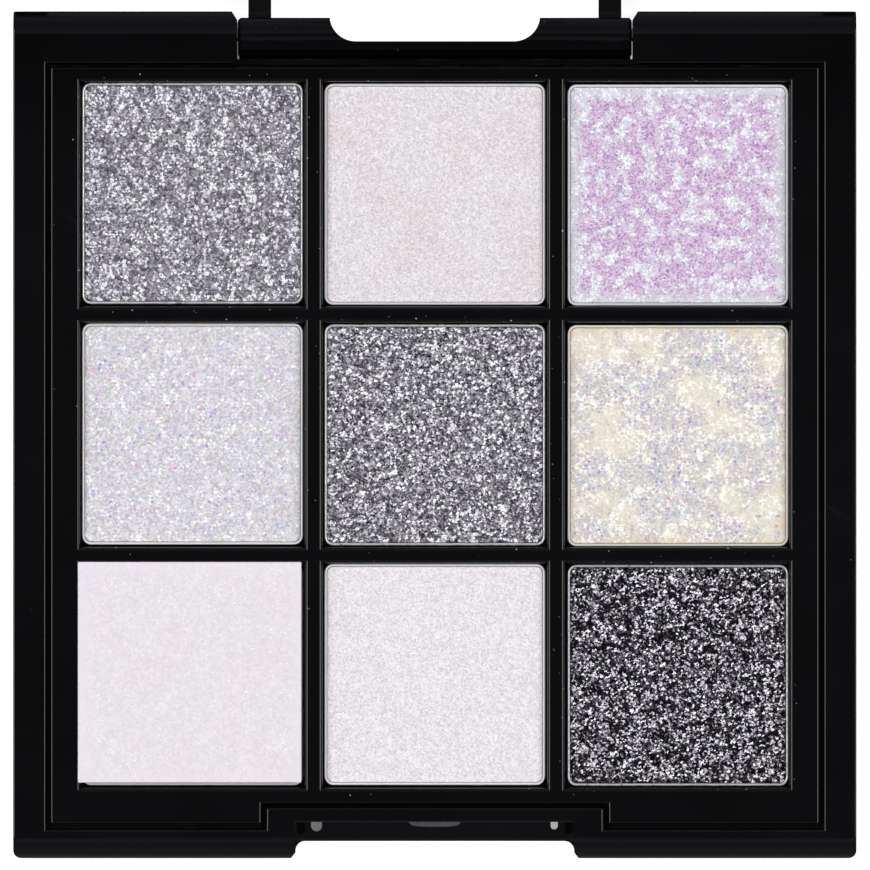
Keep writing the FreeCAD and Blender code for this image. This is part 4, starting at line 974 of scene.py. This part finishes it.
def softbox(name, place, target, width, depth, radiance):
    light = bpy.data.lights.new(name, "AREA")
    light.shape = "RECTANGLE"
    light.size, light.size_y = width, depth
    light.energy = radiance * math.pi * width * depth
    lamp = bpy.data.objects.new(name, light)
    lamp.location = place
    direction = Vector(target) - Vector(place)
    lamp.rotation_euler = direction.to_track_quat("-Z", "Y").to_euler()
    bpy.context.scene.collection.objects.link(lamp)


for name, x in (("key_left", -0.55), ("key_right", 0.55)):
    softbox(name, place=(x, 0.0, 0.80), target=(0, 0, 0.01), width=0.95, depth=0.50,
            radiance=3.95)

# (direction component, brightness), each with a tint: the sky by height, a dim panel high in
# front that shows in the front edge's round, and one behind that shows in the hinge's round
SKY = [(0.0, 0.195), (0.24, 0.18), (0.44, 0.15), (0.62, 0.126), (0.755, 0.10), (0.857, 0.07),
       (0.94, 0.055), (1.0, 0.04)]
SKY_TINT = (1, 0.94, 1.2)
FRONT_PANEL = [(0.0, 0.0), (0.16, 0.0), (0.32, 0.12), (0.52, 0.10), (0.74, 0.0)]
FRONT_TINT = (1, 0.95, 1.15)
BACK_PANEL = [(0.0, 0.0), (0.07, 0.0), (0.13, 0.15), (0.45, 0.11), (0.75, 0.0)]
BACK_TINT = (1, 0.96, 1.15)


def tinted(stops, tint):
    return [(position, [level * part for part in tint]) for position, level in stops]


world = bpy.data.worlds.new("studio")
bpy.context.scene.world = world
studio = Graph(world, "ShaderNodeOutputWorld")
_, toward_back, upward = studio.separate(studio.node("TexCoord").outputs["Generated"])
sky = studio.ramp(upward, tinted(SKY, SKY_TINT))
front_panel = studio.ramp(studio.multiply(toward_back, -1.0), tinted(FRONT_PANEL, FRONT_TINT))
back_panel = studio.ramp(toward_back, tinted(BACK_PANEL, BACK_TINT))
high_up = studio.remap(upward, span=(0.25, 0.5))
glow = studio.mix(high_up, sky, front_panel, mode="ADD")
glow = studio.mix(high_up, glow, back_panel, mode="ADD")
studio.finish(studio.node("Background", glow))

# ------------------------------------------------------------------ camera, looking straight down

CAMERA_HEIGHT = 3.0  # above the case, in metres
VIEW_WIDTH = 0.10336  # of the picture at the case's top, in metres
CAMERA_OFFSET = 0.00002  # right of the case's centre, and in front of it

camera_data = bpy.data.cameras.new("camera")
camera = bpy.data.objects.new("camera", camera_data)
bpy.context.scene.collection.objects.link(camera)
camera_data.sensor_width = 36.0
camera_data.lens = CAMERA_HEIGHT * 36.0 / VIEW_WIDTH
camera_data.clip_start, camera_data.clip_end = 0.01, 20.0
camera.location = ((case_low.x + case_high.x) / 2 + CAMERA_OFFSET,
                   (case_low.y + case_high.y) / 2 - CAMERA_OFFSET,
                   case_high.z + CAMERA_HEIGHT)
scene = bpy.context.scene
scene.camera = camera
scene.view_settings.view_transform = "Standard"
scene.view_settings.look = "None"
